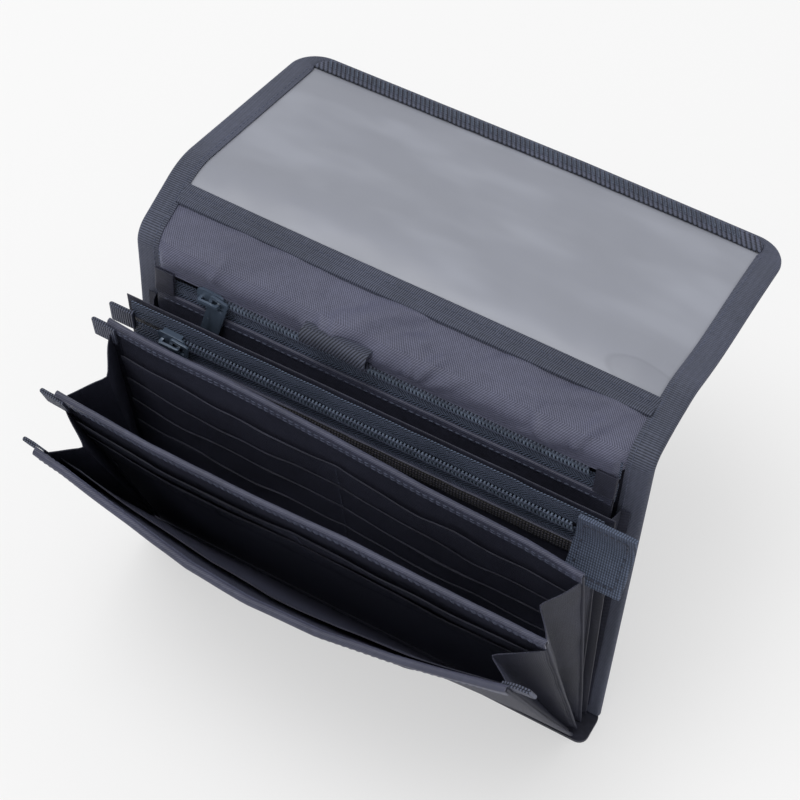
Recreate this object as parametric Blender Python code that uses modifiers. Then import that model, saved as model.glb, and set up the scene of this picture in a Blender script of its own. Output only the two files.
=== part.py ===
"""Stationery pouch: an accordion organiser that stands open on its base, with its flap folded back.

Metres, +Z up, +X along the width, -Y to the front. The origin is at the middle of the base's underside.
Each leaf of the accordion has an empty on its hinge line. In an empty's own frame, X runs along the
width, Z runs up the leaf, and "ahead" means towards -Y, the side that faces the user. On the flap, Z
runs away from its fold and "ahead" is the lining's side.
"""

import math

import bmesh
import bpy
from mathutils import Matrix, Vector

# Base and body
BODY_WIDTH = 0.210
LEAF_INSET = 0.005
LEAF_WIDTH = BODY_WIDTH - 2 * LEAF_INSET
BASE_DEPTH = 0.016
BASE_THICKNESS = 0.0015
BASE_CORNER = 0.004
SEAT_GAP = 0.0003
SEWN_GAP = 0.0003
HAIR = 0.00001

# Leaves: where each meets the base, its thickness, and how far it leans to the front as it stands open
BACK_FOOT = 0.0065
CENTRE_FOOT = 0.0031
CARD_FOOT = -0.0003
NOTE_FOOT = -0.0036
FRONT_FOOT = -0.0070
BACK_LEAN = math.radians(-5)
CENTRE_LEAN = math.radians(0.5)
CARD_LEAN = math.radians(5.5)
NOTE_LEAN = math.radians(17.5)
FRONT_LEAN = math.radians(28)
BACK_THICKNESS = 0.0016
BOARD_THICKNESS = 0.0010
WALL_THICKNESS = 0.0006
CENTRE_SET_BACK = 0.0008
FRONT_THICKNESS = 0.0016
BACK_HEIGHT = 0.1534
CENTRE_HEIGHT = 0.1390
CARD_HEIGHT = 0.1370
NOTE_HEIGHT = 0.1370
FRONT_HEIGHT = 0.1340
LEAF_CORNER = 0.003
FOOT_ROUND_SHARE = 0.49
FOOT_SEGMENTS = 3
CORNER_SEGMENTS = 5

# Edge tape round the back, the spine and the lid
BINDING_WIDTH = 0.010
BINDING_THICKNESS = 0.0005
BINDING_SIDE_GAP = 0.0005

# Flap: a spine that folds over the leaves, and a lid that folds down the front
BACK_FOLD_REACH = 0.0016
SPINE_FOLD_REACH = 0.0016
SPINE_LID_REACH = 0.0018
LID_FOLD_REACH = 0.0026
SPINE_LENGTH = 0.0302
SPINE_RISE = math.radians(20.6)
LID_LENGTH = 0.0907
LID_FALL = math.radians(-11.2)
FLAP_THICKNESS = 0.0012
FOLD_CLOTH = 0.0004
LID_CORNER = 0.013
LID_POCKET_SLACK = 0.0006
WINDOW_THICKNESS = 0.0004
WEBBING_WIDTH = 0.0080
WEBBING_THICKNESS = 0.0010
WEBBING_UP_SPINE = 0.0150
HOOK_WIDTH = 0.0075
HOOK_THICKNESS = 0.0010
HOOK_EDGE = 0.0020
HOOK_SIDE = 0.0020

# Pen loop of ribbed elastic on the back, just above the rear zip
LOOP_X = -0.0155
LOOP_LENGTH = 0.027
LOOP_RISE = 0.0050
LOOP_HEIGHT = 0.0074
LOOP_DEPTH = 0.0080
LOOP_ROUND = 0.0018
LOOP_ELASTIC = 0.0007

# Zips: woven tapes, a coil chain, a slider with its bridge, and a pull
TAPE_THICKNESS = 0.0005
TAPE_SLIT = 0.0025
TAPE_WIDTH = 0.0100
CHAIN_WIDTH = 0.0056
CHAIN_THICKNESS = 0.0016
CHAIN_LIFT = 0.0002
TOOTH_PITCH = 0.0026
TOOTH_DEPTH = 0.0005
TOOTH_SHARES = (0.3, 0.7)
SLIDER_LENGTH = 0.0115
SLIDER_SHOULDER = 0.0086
SLIDER_TAIL = 0.0078
SLIDER_PLATE = 0.0008
SLIDER_FLANGE = 0.0006
SLIDER_FLANGE_INSET = 0.00015
SLIDER_RUN = 0.0003
SLIDER_CORNER = 0.0016
POST_LENGTH = 0.0022
POST_WIDTH = 0.0018
POST_SETBACK = 0.0012
BRIDGE_LENGTH = 0.0088
BRIDGE_WIDTH = 0.0016
BRIDGE_FOOT = 0.0012
BRIDGE_BAR = 0.0010
BRIDGE_ROUND = 0.0009
PULL_THICKNESS = 0.0010
PULL_RUN = 0.00025
PULL_WIDTH = 0.0078
PULL_EYE = 0.0044
PULL_RIM = 0.0013
PULL_EYE_ROUND = 0.0006
PULL_CORNER = 0.0020
PULL_SLOT_LENGTH = 0.0040
PULL_SLOT_WIDTH = 0.0016
PULL_SLOT_ROUND = 0.00078
PULL_SLOT_INSET = 0.0032

# Rear zip pocket, on the back
REAR_POCKET_WIDTH = BODY_WIDTH - 2 * (BINDING_WIDTH + BINDING_SIDE_GAP)
REAR_ZIP_DROP = 0.0119
REAR_ZIP_UP = BACK_HEIGHT - REAR_ZIP_DROP
REAR_ZIP_LEAD = 0.0245
REAR_ZIP_TRAIL = 0.0110
REAR_ZIP_START = REAR_ZIP_LEAD - REAR_POCKET_WIDTH / 2
REAR_ZIP_END = REAR_POCKET_WIDTH / 2 - REAR_ZIP_TRAIL
REAR_PULL_LENGTH = 0.0260
REAR_PULL_SWING = math.radians(-15)
WALL_FOOT = 0.0060
TAPE_TUCK = 0.0030
REAR_SLOT_UP = 0.1180
REAR_SLOT_INSET = 0.0060
REAR_SLOT_WIDTH = REAR_POCKET_WIDTH - 2 * REAR_SLOT_INSET
ZIP_STAY_LENGTH = 0.0080
ZIP_STAY_THICKNESS = 0.0010
ZIP_STAY_INSET = 0.0006

# Centre zip pocket
CENTRE_POCKET_INSET = 0.003
CENTRE_POCKET_WIDTH = LEAF_WIDTH - 2 * CENTRE_POCKET_INSET
CENTRE_ZIP_UP = 0.1290
CENTRE_ZIP_LEAD = 0.0190
CENTRE_ZIP_TRAIL = 0.0110
CENTRE_ZIP_START = CENTRE_ZIP_LEAD - CENTRE_POCKET_WIDTH / 2
CENTRE_ZIP_END = CENTRE_POCKET_WIDTH / 2 - CENTRE_ZIP_TRAIL
CENTRE_PULL_LENGTH = 0.0300
CENTRE_PULL_SWING = math.radians(-8)
MESH_BAND_HEIGHT = 0.0055
MESH_BAND_DROP = 0.0004
MESH_BAND_THICKNESS = 0.0004
END_TAB_LENGTH = 0.0215
END_TAB_HEIGHT = 0.0235
END_TAB_THICKNESS = 0.0018
END_TAB_ROUND = 0.0006
END_TAB_PAST_SIDE = 0.0100

# Card slots: strips set like shingles, each lower than the one behind it
SLOT_THICKNESS = 0.0004
SLOT_HEIGHT = 0.0240
SLOT_STEP = 0.0145
SLOT_INSET = 0.0050
SLOT_WIDTH = LEAF_WIDTH - 2 * SLOT_INSET
SLOT_STAND_OFF = 0.00008
SLOT_SEAM = 0.0012
CARD_SLOTS = 4
NOTE_SLOTS = 2

# Front: inner slip pocket and the loop half of the closure
SLIP_HEIGHT = 0.1180
SLIP_FOOT = 0.0070
SLIP_DIP = 0.0060
SLIP_INSET = 0.0040
SLIP_WIDTH = LEAF_WIDTH - 2 * SLIP_INSET
SLIP_STEPS = 12
LOOP_STRIP_LENGTH = 0.100
LOOP_STRIP_HEIGHT = 0.018
LOOP_STRIP_UP = 0.0770
LOOP_STRIP_THICKNESS = 0.0009
LOOP_STRIP_CORNER = 0.002

# Ribbon tabs at the upper corners
TAB_LENGTH = 0.0110
TAB_HEIGHT = 0.0085
TAB_THICKNESS = 0.0012
TAB_HOLD = 0.0040
TAB_ROUND = 0.0004
TAB_DROP = 0.0010

# Side gussets: a pleat of cloth in each bay
GUSSET_CLOTH = 0.0004
GUSSET_FOOT = 0.0080
REAR_GUSSET_FOOT = 0.0300
GUSSET_TOP = 0.1150
GUSSET_FOLD_TOP = 0.0105
GUSSET_FOLD_FOOT = 0.0030
GUSSET_INSET = 0.0010

NAVY = (0.040, 0.047, 0.075)
LINING = (0.075, 0.078, 0.105)
TAPE_BLUE = (0.032, 0.042, 0.072)
METAL_BLUE = (0.045, 0.070, 0.100)
MESH_BROWN = (0.090, 0.080, 0.080)
CLEAR_GREY = (0.32, 0.34, 0.38)


def empty_scene():
    """Start from nothing, whatever the file held."""
    for thing in list(bpy.data.objects):
        bpy.data.objects.remove(thing, do_unlink=True)


def new_collection(name):
    collection = bpy.data.collections.new(name)
    bpy.context.scene.collection.children.link(collection)
    return collection


empty_scene()
PARTS = new_collection("stationery_pouch")
CUTTERS = new_collection("cutters")


def holder(name, location, lean=0.0, parent=None):
    """An empty on a hinge line, given in the world, which the pieces of one moving body hang from."""
    empty = bpy.data.objects.new(name, None)
    empty.location = location
    empty.rotation_euler = (lean, 0, 0)
    PARTS.objects.link(empty)
    if parent:
        empty.parent = parent
        empty.matrix_parent_inverse = parent.matrix_world.inverted()
    bpy.context.view_layer.update()
    return empty


def carried_holder(name, parent, location):
    """An empty placed in its parent's own frame."""
    empty = bpy.data.objects.new(name, None)
    empty.location = location
    empty.parent = parent
    PARTS.objects.link(empty)
    bpy.context.view_layer.update()
    return empty


def finish(thing, colour, roughness, metallic=0.0, alpha=1.0):
    """Give a piece a material of its own."""
    made = bpy.data.materials.new(thing.name)
    made.use_nodes = True
    shader = made.node_tree.nodes["Principled BSDF"]
    shader.inputs["Base Color"].default_value = (*colour, 1.0)
    shader.inputs["Roughness"].default_value = roughness
    shader.inputs["Metallic"].default_value = metallic
    shader.inputs["Alpha"].default_value = alpha
    made.diffuse_color = (*colour, 1.0)
    thing.data.materials.clear()
    thing.data.materials.append(made)
    return thing


def rounded(x0, x1, z0, z1, radii):
    """A rectangle's outline whose corners have the given radii, from lower left, counter-clockwise."""
    corners = ((x0, z0, 1, 1), (x1, z0, -1, 1), (x1, z1, -1, -1), (x0, z1, 1, -1))
    points = []
    for index, ((x, z, inward_x, inward_z), radius) in enumerate(zip(corners, radii)):
        if not radius:
            points.append((x, z))
            continue
        centre = (x + inward_x * radius, z + inward_z * radius)
        start = math.pi + index * math.pi / 2
        for step in range(CORNER_SEGMENTS + 1):
            angle = start + step / CORNER_SEGMENTS * math.pi / 2
            points.append((centre[0] + radius * math.cos(angle), centre[1] + radius * math.sin(angle)))
    return points


def outline_curve(name, owner, outlines, thickness):
    """A flat outline in X and Y, with holes if more than one is given, extruded both ways along Z."""
    curve = bpy.data.curves.new(name, "CURVE")
    curve.dimensions = "2D"
    curve.fill_mode = "BOTH"
    curve.extrude = thickness / 2
    for outline in outlines:
        spline = curve.splines.new("POLY")
        spline.points.add(len(outline) - 1)
        for point, place in zip(spline.points, outline):
            point.co = (*place, 0, 1)
        spline.use_cyclic_u = True
    thing = bpy.data.objects.new(name, curve)
    PARTS.objects.link(thing)
    thing.parent = owner
    return thing


def sheet(name, owner, outlines, behind, ahead):
    """A flat piece of a leaf, its outline in the leaf's X and Z, from behind to ahead of the leaf."""
    thing = outline_curve(name, owner, outlines, ahead - behind)
    thing.rotation_euler = (math.pi / 2, 0, 0)
    thing.location = (0, -(ahead + behind) / 2, 0)
    return thing


def section(name, owner, outlines, middle_x, length):
    """A piece with one section all along X, its outline given as distances ahead of and up the leaf."""
    thing = outline_curve(name, owner, outlines, length)
    thing.matrix_basis = Matrix(((0, 0, -1, middle_x), (-1, 0, 0, 0), (0, 1, 0, 0), (0, 0, 0, 1)))
    return thing


def as_mesh(thing):
    """The same piece as a welded mesh, which modifiers can work on, still in its owner's frame."""
    bpy.context.view_layer.update()
    evaluated = thing.evaluated_get(bpy.context.evaluated_depsgraph_get())
    mesh = bpy.data.meshes.new_from_object(evaluated)
    work = bmesh.new()
    work.from_mesh(mesh)
    bmesh.ops.remove_doubles(work, verts=work.verts, dist=HAIR)
    work.to_mesh(mesh)
    work.free()
    mesh.transform(thing.matrix_basis)
    name, owner = thing.name, thing.parent
    bpy.data.objects.remove(thing)
    solid = bpy.data.objects.new(name, mesh)
    PARTS.objects.link(solid)
    solid.parent = owner
    return solid


def block(name, owner, size, centre, edge=0.0):
    """A box of the given size, its edges rounded when edge is given."""
    mesh = bpy.data.meshes.new(name)
    work = bmesh.new()
    bmesh.ops.create_cube(work, size=1)
    bmesh.ops.scale(work, vec=size, verts=work.verts)
    work.to_mesh(mesh)
    work.free()
    solid = bpy.data.objects.new(name, mesh)
    solid.location = centre
    PARTS.objects.link(solid)
    solid.parent = owner
    if edge:
        rounding = solid.modifiers.new("Rounding", "BEVEL")
        rounding.width = edge
        rounding.segments = 2
    return solid


def combine(target, others, operation):
    """Join the others to the target, or cut them from it, and keep them as hidden cutters."""
    for other in others:
        step = target.modifiers.new(other.name, "BOOLEAN")
        step.operation = operation
        step.solver = "EXACT"
        step.object = other
        PARTS.objects.unlink(other)
        CUTTERS.objects.link(other)
        other.hide_render = True
        other.display_type = "WIRE"
    return target


def leaf_plate(name, owner, width, thickness, height, set_back=0.0):
    """A leaf's stiffened cloth, with a round foot that turns near the hinge line and round top corners."""
    half = width / 2
    outline = rounded(-half, half, -thickness / 2, height, (0, 0, LEAF_CORNER, LEAF_CORNER))
    plate = as_mesh(sheet(name, owner, (outline,), -thickness / 2 - set_back, thickness / 2 - set_back))
    weights = plate.data.attributes.new("bevel_weight_edge", "FLOAT", "EDGE")
    for edge in plate.data.edges:
        ends = [plate.data.vertices[index].co for index in edge.vertices]
        at_foot = all(abs(end.z + thickness / 2) < HAIR for end in ends)
        lengthwise = abs(ends[0].x - ends[1].x) > thickness
        weights.data[edge.index].value = 1.0 if at_foot and lengthwise else 0.0
    rounding = plate.modifiers.new("Foot", "BEVEL")
    rounding.limit_method = "WEIGHT"
    rounding.width = thickness * FOOT_ROUND_SHARE
    rounding.segments = FOOT_SEGMENTS
    return plate


def wall_depth(up, top, foot_ahead, top_ahead):
    """How far ahead of its leaf the middle of a pocket's wall lies, at a height up the leaf."""
    return foot_ahead + (top_ahead - foot_ahead) * (up - WALL_FOOT) / (top - WALL_FOOT)


def wall(name, owner, width, foot, top, foot_ahead, top_ahead, thickness, dip=0.0):
    """A cloth wall that drifts ahead of its leaf on the way up. Its top edge may dip in the middle."""
    rise = top_ahead - foot_ahead
    length = math.hypot(rise, top - foot)
    half = width / 2
    outline = [(-half, 0), (half, 0), (half, length)]
    if dip:
        for step in range(1, SLIP_STEPS):
            share = step / SLIP_STEPS
            outline.append((half - width * share, length - dip * math.sin(math.pi * share) ** 2))
    outline.append((-half, length))
    thing = sheet(name, owner, (outline,), -thickness / 2, thickness / 2)
    thing.rotation_euler.x += math.atan2(rise, top - foot)
    thing.location = (0, -foot_ahead, foot)
    return thing


def foot_height(thickness):
    """The hinge line's height, which leaves the seat gap under the leaf's round foot."""
    return BASE_THICKNESS + SEAT_GAP + thickness / 2


def along(start, angle, length):
    """The point that lies the given length from start, at an angle above +Y."""
    return Vector((0, start.y + length * math.cos(angle), start.z + length * math.sin(angle)))


# Hinge lines of the leaves, one after the other, and of the flap
BACK = holder("back_frame", (0, BACK_FOOT, foot_height(BACK_THICKNESS)), BACK_LEAN)
CENTRE = holder("centre_hinge", (0, CENTRE_FOOT, foot_height(BOARD_THICKNESS)), CENTRE_LEAN, BACK)
CARD = holder("card_hinge", (0, CARD_FOOT, foot_height(BOARD_THICKNESS)), CARD_LEAN, CENTRE)
NOTE = holder("note_hinge", (0, NOTE_FOOT, foot_height(BOARD_THICKNESS)), NOTE_LEAN, CARD)
FRONT = holder("front_hinge", (0, FRONT_FOOT, foot_height(FRONT_THICKNESS)), FRONT_LEAN, NOTE)
BACK_FOLD = BACK.matrix_world @ Vector((0, 0, BACK_HEIGHT + BACK_FOLD_REACH))
LID_FOLD = along(BACK_FOLD, SPINE_RISE, SPINE_LENGTH)
SPINE = holder("back_fold_line", BACK_FOLD, SPINE_RISE - math.pi / 2, BACK)
LID = holder("lid_fold_line", LID_FOLD, LID_FALL - math.pi / 2, SPINE)

# Depths of a zip's layers, as distances ahead of the middle of its tape
TAPE_FACE = TAPE_THICKNESS / 2
UNDER_PLATE = (-TAPE_FACE - SLIDER_RUN - SLIDER_PLATE, -TAPE_FACE - SLIDER_RUN)
CHAIN_LAYER = (TAPE_FACE + CHAIN_LIFT, TAPE_FACE + CHAIN_LIFT + CHAIN_THICKNESS)
COVER_PLATE = (CHAIN_LAYER[1] + SLIDER_RUN, CHAIN_LAYER[1] + SLIDER_RUN + SLIDER_PLATE)
PULL_LAYER = (COVER_PLATE[1] + PULL_RUN, COVER_PLATE[1] + PULL_RUN + PULL_THICKNESS)
BAR_LAYER = (PULL_LAYER[1] + PULL_RUN, PULL_LAYER[1] + PULL_RUN + BRIDGE_BAR)
REAR_TAPE_AHEAD = BACK_THICKNESS / 2 + SEWN_GAP - UNDER_PLATE[0]
CENTRE_WALL_FACE = WALL_THICKNESS / 2 - CENTRE_SET_BACK
CENTRE_TAPE_AHEAD = CENTRE_WALL_FACE + SEWN_GAP - UNDER_PLATE[0]
BRIDGE_FOOT_X = BRIDGE_LENGTH / 2 - BRIDGE_FOOT / 2

# Front walls of the two zip pockets, from near the leaf at the foot to the front of the tape at the top
WALL_SEAT = SEWN_GAP + WALL_THICKNESS / 2
REAR_WALL_TOP = REAR_ZIP_UP - TAPE_WIDTH + TAPE_TUCK
REAR_WALL_DEPTHS = (BACK_THICKNESS / 2 + WALL_SEAT, REAR_TAPE_AHEAD + TAPE_FACE + WALL_SEAT)
CENTRE_WALL_TOP = CENTRE_ZIP_UP - TAPE_WIDTH + TAPE_TUCK
CENTRE_WALL_DEPTHS = (CENTRE_WALL_FACE + WALL_SEAT, CENTRE_TAPE_AHEAD + TAPE_FACE + WALL_SEAT)

# Depths of the lid's layers, as distances ahead of the middle of the flap's cloth
FLAP_FACE = FLAP_THICKNESS / 2
WINDOW_LAYER = (FLAP_FACE + LID_POCKET_SLACK, FLAP_FACE + LID_POCKET_SLACK + WINDOW_THICKNESS)
HOOK_LAYER = (WINDOW_LAYER[1] + SEWN_GAP, WINDOW_LAYER[1] + SEWN_GAP + HOOK_THICKNESS)


def build_base():
    """The flat bottom that every leaf is sewn to, and that the pouch stands on."""
    half_x, half_y = BODY_WIDTH / 2, BASE_DEPTH / 2
    outline = rounded(-half_x, half_x, -half_y, half_y, (BASE_CORNER,) * 4)
    base = outline_curve("base_panel", None, (outline,), BASE_THICKNESS)
    base.location = (0, 0, BASE_THICKNESS / 2)
    finish(base, NAVY, 0.85)


def build_edge_tape(name, owner, side, foot, top, core):
    """A length of edge tape folded over a leaf's side, seen along the leaf as a C."""
    edge = side * BODY_WIDTH / 2
    inner_x = edge - side * BINDING_WIDTH
    wall_x = edge - side * BINDING_THICKNESS
    inside = core / 2 + SEWN_GAP
    outside = inside + BINDING_THICKNESS
    outline = [
        (inner_x, -outside), (edge, -outside), (edge, outside), (inner_x, outside),
        (inner_x, inside), (wall_x, inside), (wall_x, -inside), (inner_x, -inside),
    ]
    tape = outline_curve(name, owner, (outline,), top - foot)
    tape.location = (0, 0, (foot + top) / 2)
    finish(tape, NAVY, 0.8)


def slider_outline():
    """A slider plate: broad at its nose, on the left, and drawn in towards its tail."""
    half = SLIDER_LENGTH / 2
    points = rounded(-half, half, -SLIDER_SHOULDER / 2, SLIDER_SHOULDER / 2, (SLIDER_CORNER,) * 4)
    taper_share = (SLIDER_SHOULDER - SLIDER_TAIL) / SLIDER_SHOULDER
    return [(x, z * (1 - taper_share * (x + half) / SLIDER_LENGTH)) for x, z in points]


def build_slider(name, owner):
    """Two plates on a wedge between the tapes, flanges beside the coil, and a bridge for the pull."""
    bite = SLIDER_PLATE / 2
    half = SLIDER_LENGTH / 2
    body = as_mesh(sheet(name, owner, (slider_outline(),), *COVER_PLATE))
    under = as_mesh(sheet(f"{name}_under", owner, (slider_outline(),), *UNDER_PLATE))
    nose = POST_SETBACK - half
    wedge = [(nose, 0), (nose + POST_LENGTH / 2, -POST_WIDTH / 2),
             (nose + POST_LENGTH, 0), (nose + POST_LENGTH / 2, POST_WIDTH / 2)]
    post = as_mesh(sheet(f"{name}_post", owner, (wedge,), UNDER_PLATE[1] - bite, COVER_PLATE[0] + bite))
    joined = [under, post]
    for side, word in ((-1, "lower"), (1, "upper")):
        nose_z = side * (SLIDER_SHOULDER / 2 - SLIDER_FLANGE_INSET)
        tail_z = side * (SLIDER_TAIL / 2 - SLIDER_FLANGE_INSET)
        start_x, end_x = SLIDER_CORNER - half, half - SLIDER_CORNER
        inward = side * SLIDER_FLANGE
        rim = [(start_x, nose_z), (end_x, tail_z), (end_x, tail_z - inward), (start_x, nose_z - inward)]
        joined.append(as_mesh(sheet(f"{name}_{word}_flange", owner, (rim,),
                                    TAPE_FACE + SLIDER_RUN, COVER_PLATE[0] + bite)))
    arch = rounded(COVER_PLATE[1] - bite, BAR_LAYER[1], -BRIDGE_LENGTH / 2, BRIDGE_LENGTH / 2,
                   (0, BRIDGE_ROUND, BRIDGE_ROUND, 0))
    bridge = outline_curve(f"{name}_bridge", owner, (arch,), BRIDGE_WIDTH)
    bridge.matrix_basis = Matrix(((0, 1, 0, 0), (-1, 0, 0, 0), (0, 0, 1, 0), (0, 0, 0, 1)))
    joined.append(as_mesh(bridge))
    combine(body, joined, "UNION")
    opening = (BRIDGE_LENGTH - 2 * BRIDGE_FOOT, BAR_LAYER[0] - COVER_PLATE[1], 2 * BRIDGE_WIDTH)
    tunnel = block(f"{name}_tunnel", owner, opening, (0, -(BAR_LAYER[0] + COVER_PLATE[1]) / 2, 0))
    combine(body, [tunnel], "DIFFERENCE")
    finish(body, METAL_BLUE, 0.35, 0.7)


def build_pull(name, owner, length):
    """The pull. Its eye goes round the bridge's foot, and one rim of the eye passes under the bridge."""
    half = PULL_WIDTH / 2
    top = PULL_EYE / 2 + PULL_RIM
    low = top - length
    body = rounded(-half, half, low, top, (PULL_CORNER, PULL_CORNER, PULL_RIM, PULL_RIM))
    eye_half = half - PULL_RIM
    eye = rounded(-eye_half, eye_half, -PULL_EYE / 2, PULL_EYE / 2, (PULL_EYE_ROUND,) * 4)
    slot_half = PULL_SLOT_WIDTH / 2
    slot_low = low + PULL_SLOT_INSET
    slot = rounded(-slot_half, slot_half, slot_low, slot_low + PULL_SLOT_LENGTH, (PULL_SLOT_ROUND,) * 4)
    finish(sheet(name, owner, (body, eye, slot), *PULL_LAYER), METAL_BLUE, 0.3, 0.7)


def build_chain(name, owner, start, end, ahead, up):
    """The closed coil as a bar whose long edges have a scallop for each pair of turns."""
    half = CHAIN_WIDTH / 2
    turns = round((end - start) / TOOTH_PITCH)
    pitch = (end - start) / turns
    lower, upper = [], []
    for turn in range(turns + 1):
        valley = start + turn * pitch
        lower.append((valley, up - half + TOOTH_DEPTH))
        upper.append((valley, up + half - TOOTH_DEPTH))
        for share in TOOTH_SHARES if turn < turns else ():
            lower.append((valley + share * pitch, up - half))
            upper.append((valley + share * pitch, up + half))
    chain = sheet(name, owner, (lower + upper[::-1],), ahead + CHAIN_LAYER[0], ahead + CHAIN_LAYER[1])
    finish(chain, TAPE_BLUE, 0.45)


def build_zip(prefix, owner, up, ahead, start, end, width, pull_length, swing):
    """A zip across a leaf: two tapes, the coil between them, a slider at the left end and its pull."""
    half = width / 2
    slit = TAPE_SLIT / 2
    layer = (ahead - TAPE_FACE, ahead + TAPE_FACE)
    for word, low, high in (("upper", slit, TAPE_WIDTH), ("lower", -TAPE_WIDTH, -slit)):
        outline = rounded(-half, half, up + low, up + high, (0, 0, 0, 0))
        finish(sheet(f"{prefix}_zip_{word}_tape", owner, (outline,), *layer), TAPE_BLUE, 0.8)
    post_end = start - SLIDER_LENGTH / 2 + POST_SETBACK + POST_LENGTH
    build_chain(f"{prefix}_zip_chain", owner, post_end + SLIDER_RUN, end, ahead, up)
    run = carried_holder(f"{prefix}_zip_run", owner, (start, -ahead, up))
    build_slider(f"{prefix}_zip_slider", run)
    pivot = carried_holder(f"{prefix}_zip_pivot", run, (BRIDGE_FOOT_X, 0, 0))
    pivot.rotation_euler.y = -swing
    build_pull(f"{prefix}_zip_pull", pivot, pull_length)


def build_zip_stay(name, owner, side, up, near, width):
    """A folded ribbon that closes one end of a zip."""
    height = 2 * TAPE_WIDTH - 2 * ZIP_STAY_INSET
    middle = side * (width / 2 - ZIP_STAY_LENGTH / 2)
    size = (ZIP_STAY_LENGTH, ZIP_STAY_THICKNESS, height)
    stay = block(name, owner, size, (middle, -(near + ZIP_STAY_THICKNESS / 2), up), TAB_ROUND)
    finish(stay, NAVY, 0.85)


def build_slot(name, owner, top, face, width, drift=0.0):
    """A strip of card slots, in two columns. Its top edge stands off for the strip above to tuck behind."""
    rise = (SLOT_THICKNESS + SEWN_GAP + SLOT_STAND_OFF) * SLOT_HEIGHT / SLOT_STEP + drift
    near = face + SEWN_GAP + SLOT_THICKNESS / 2
    half, seam = width / 2, SLOT_SEAM / 2
    length = math.hypot(SLOT_HEIGHT, rise)
    outline = [
        (-half, 0), (half, 0), (half, length), (seam, length), (seam, length - SLOT_SEAM),
        (-seam, length - SLOT_SEAM), (-seam, length), (-half, length),
    ]
    strip = sheet(name, owner, (outline,), -SLOT_THICKNESS / 2, SLOT_THICKNESS / 2)
    strip.rotation_euler.x += math.atan2(rise, SLOT_HEIGHT)
    strip.location = (0, -near, top - SLOT_HEIGHT)
    finish(strip, NAVY, 0.85)


def build_ribbon_tab(name, owner, side, up, near, edge_x, facing=1):
    """A folded loop of ribbed ribbon that sticks out past a leaf's upper corner."""
    middle_x = side * (edge_x - TAB_HOLD + TAB_LENGTH / 2)
    depth = facing * (near + SEWN_GAP + TAB_THICKNESS / 2)
    tab = block(name, owner, (TAB_LENGTH, TAB_THICKNESS, TAB_HEIGHT), (middle_x, -depth, up), TAB_ROUND)
    finish(tab, NAVY, 0.85)


def build_back():
    """The back, its edge tape, and the rear zip pocket with a strip of card slots on its wall."""
    plate_width = BODY_WIDTH - 2 * (BINDING_THICKNESS + SEWN_GAP)
    finish(leaf_plate("back_panel", BACK, plate_width, BACK_THICKNESS, BACK_HEIGHT), NAVY, 0.85)
    for side, word in ((-1, "left"), (1, "right")):
        build_edge_tape(f"back_binding_{word}", BACK, side, SEAT_GAP, BACK_HEIGHT, BACK_THICKNESS)
    build_zip("rear", BACK, REAR_ZIP_UP, REAR_TAPE_AHEAD, REAR_ZIP_START, REAR_ZIP_END,
              REAR_POCKET_WIDTH, REAR_PULL_LENGTH, REAR_PULL_SWING)
    pocket = wall("rear_pocket_wall", BACK, REAR_POCKET_WIDTH, WALL_FOOT, REAR_WALL_TOP,
                  *REAR_WALL_DEPTHS, WALL_THICKNESS)
    finish(pocket, NAVY, 0.85)
    slot_low = REAR_SLOT_UP - SLOT_HEIGHT
    low_depth = wall_depth(slot_low, REAR_WALL_TOP, *REAR_WALL_DEPTHS)
    drift = wall_depth(REAR_SLOT_UP, REAR_WALL_TOP, *REAR_WALL_DEPTHS) - low_depth
    build_slot("rear_card_slots", BACK, REAR_SLOT_UP, low_depth + WALL_THICKNESS / 2, REAR_SLOT_WIDTH, drift)
    near = REAR_WALL_DEPTHS[1] + WALL_SEAT
    for side, word in ((-1, "left"), (1, "right")):
        build_zip_stay(f"rear_zip_{word}_stay", BACK, side, REAR_ZIP_UP, near, REAR_POCKET_WIDTH)


def build_pen_loop():
    """A band of elastic folded into a flat tube for a pen that lies along the fold."""
    low = REAR_ZIP_UP + LOOP_RISE
    high = low + LOOP_HEIGHT
    near = REAR_TAPE_AHEAD + TAPE_FACE + SEWN_GAP
    far = near + LOOP_DEPTH
    band = LOOP_ELASTIC
    outer = rounded(near, far, low, high, (LOOP_ROUND,) * 4)
    inner = rounded(near + band, far - band, low + band, high - band, (LOOP_ROUND - band,) * 4)
    finish(section("pen_loop", BACK, (outer, inner), LOOP_X, LOOP_LENGTH), NAVY, 0.8)


def build_fold(name, owner, bend, before, after):
    """The strip of cloth at a fold: a short run up to the hinge line, and one on at the bend's angle."""
    half = FOLD_CLOTH / 2
    miter = half * math.tan(bend / 2)
    run_in, run_out = -(before - SEWN_GAP), after - SEWN_GAP
    across, onward = math.cos(bend), math.sin(bend)
    outline = [
        (-half, run_in), (half, run_in), (half, miter),
        (half * across - run_out * onward, half * onward + run_out * across),
        (-half * across - run_out * onward, -half * onward + run_out * across),
        (-half, -miter),
    ]
    width = BODY_WIDTH - 2 * BINDING_WIDTH
    finish(section(name, owner, (outline,), 0, width), NAVY, 0.85)


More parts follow.
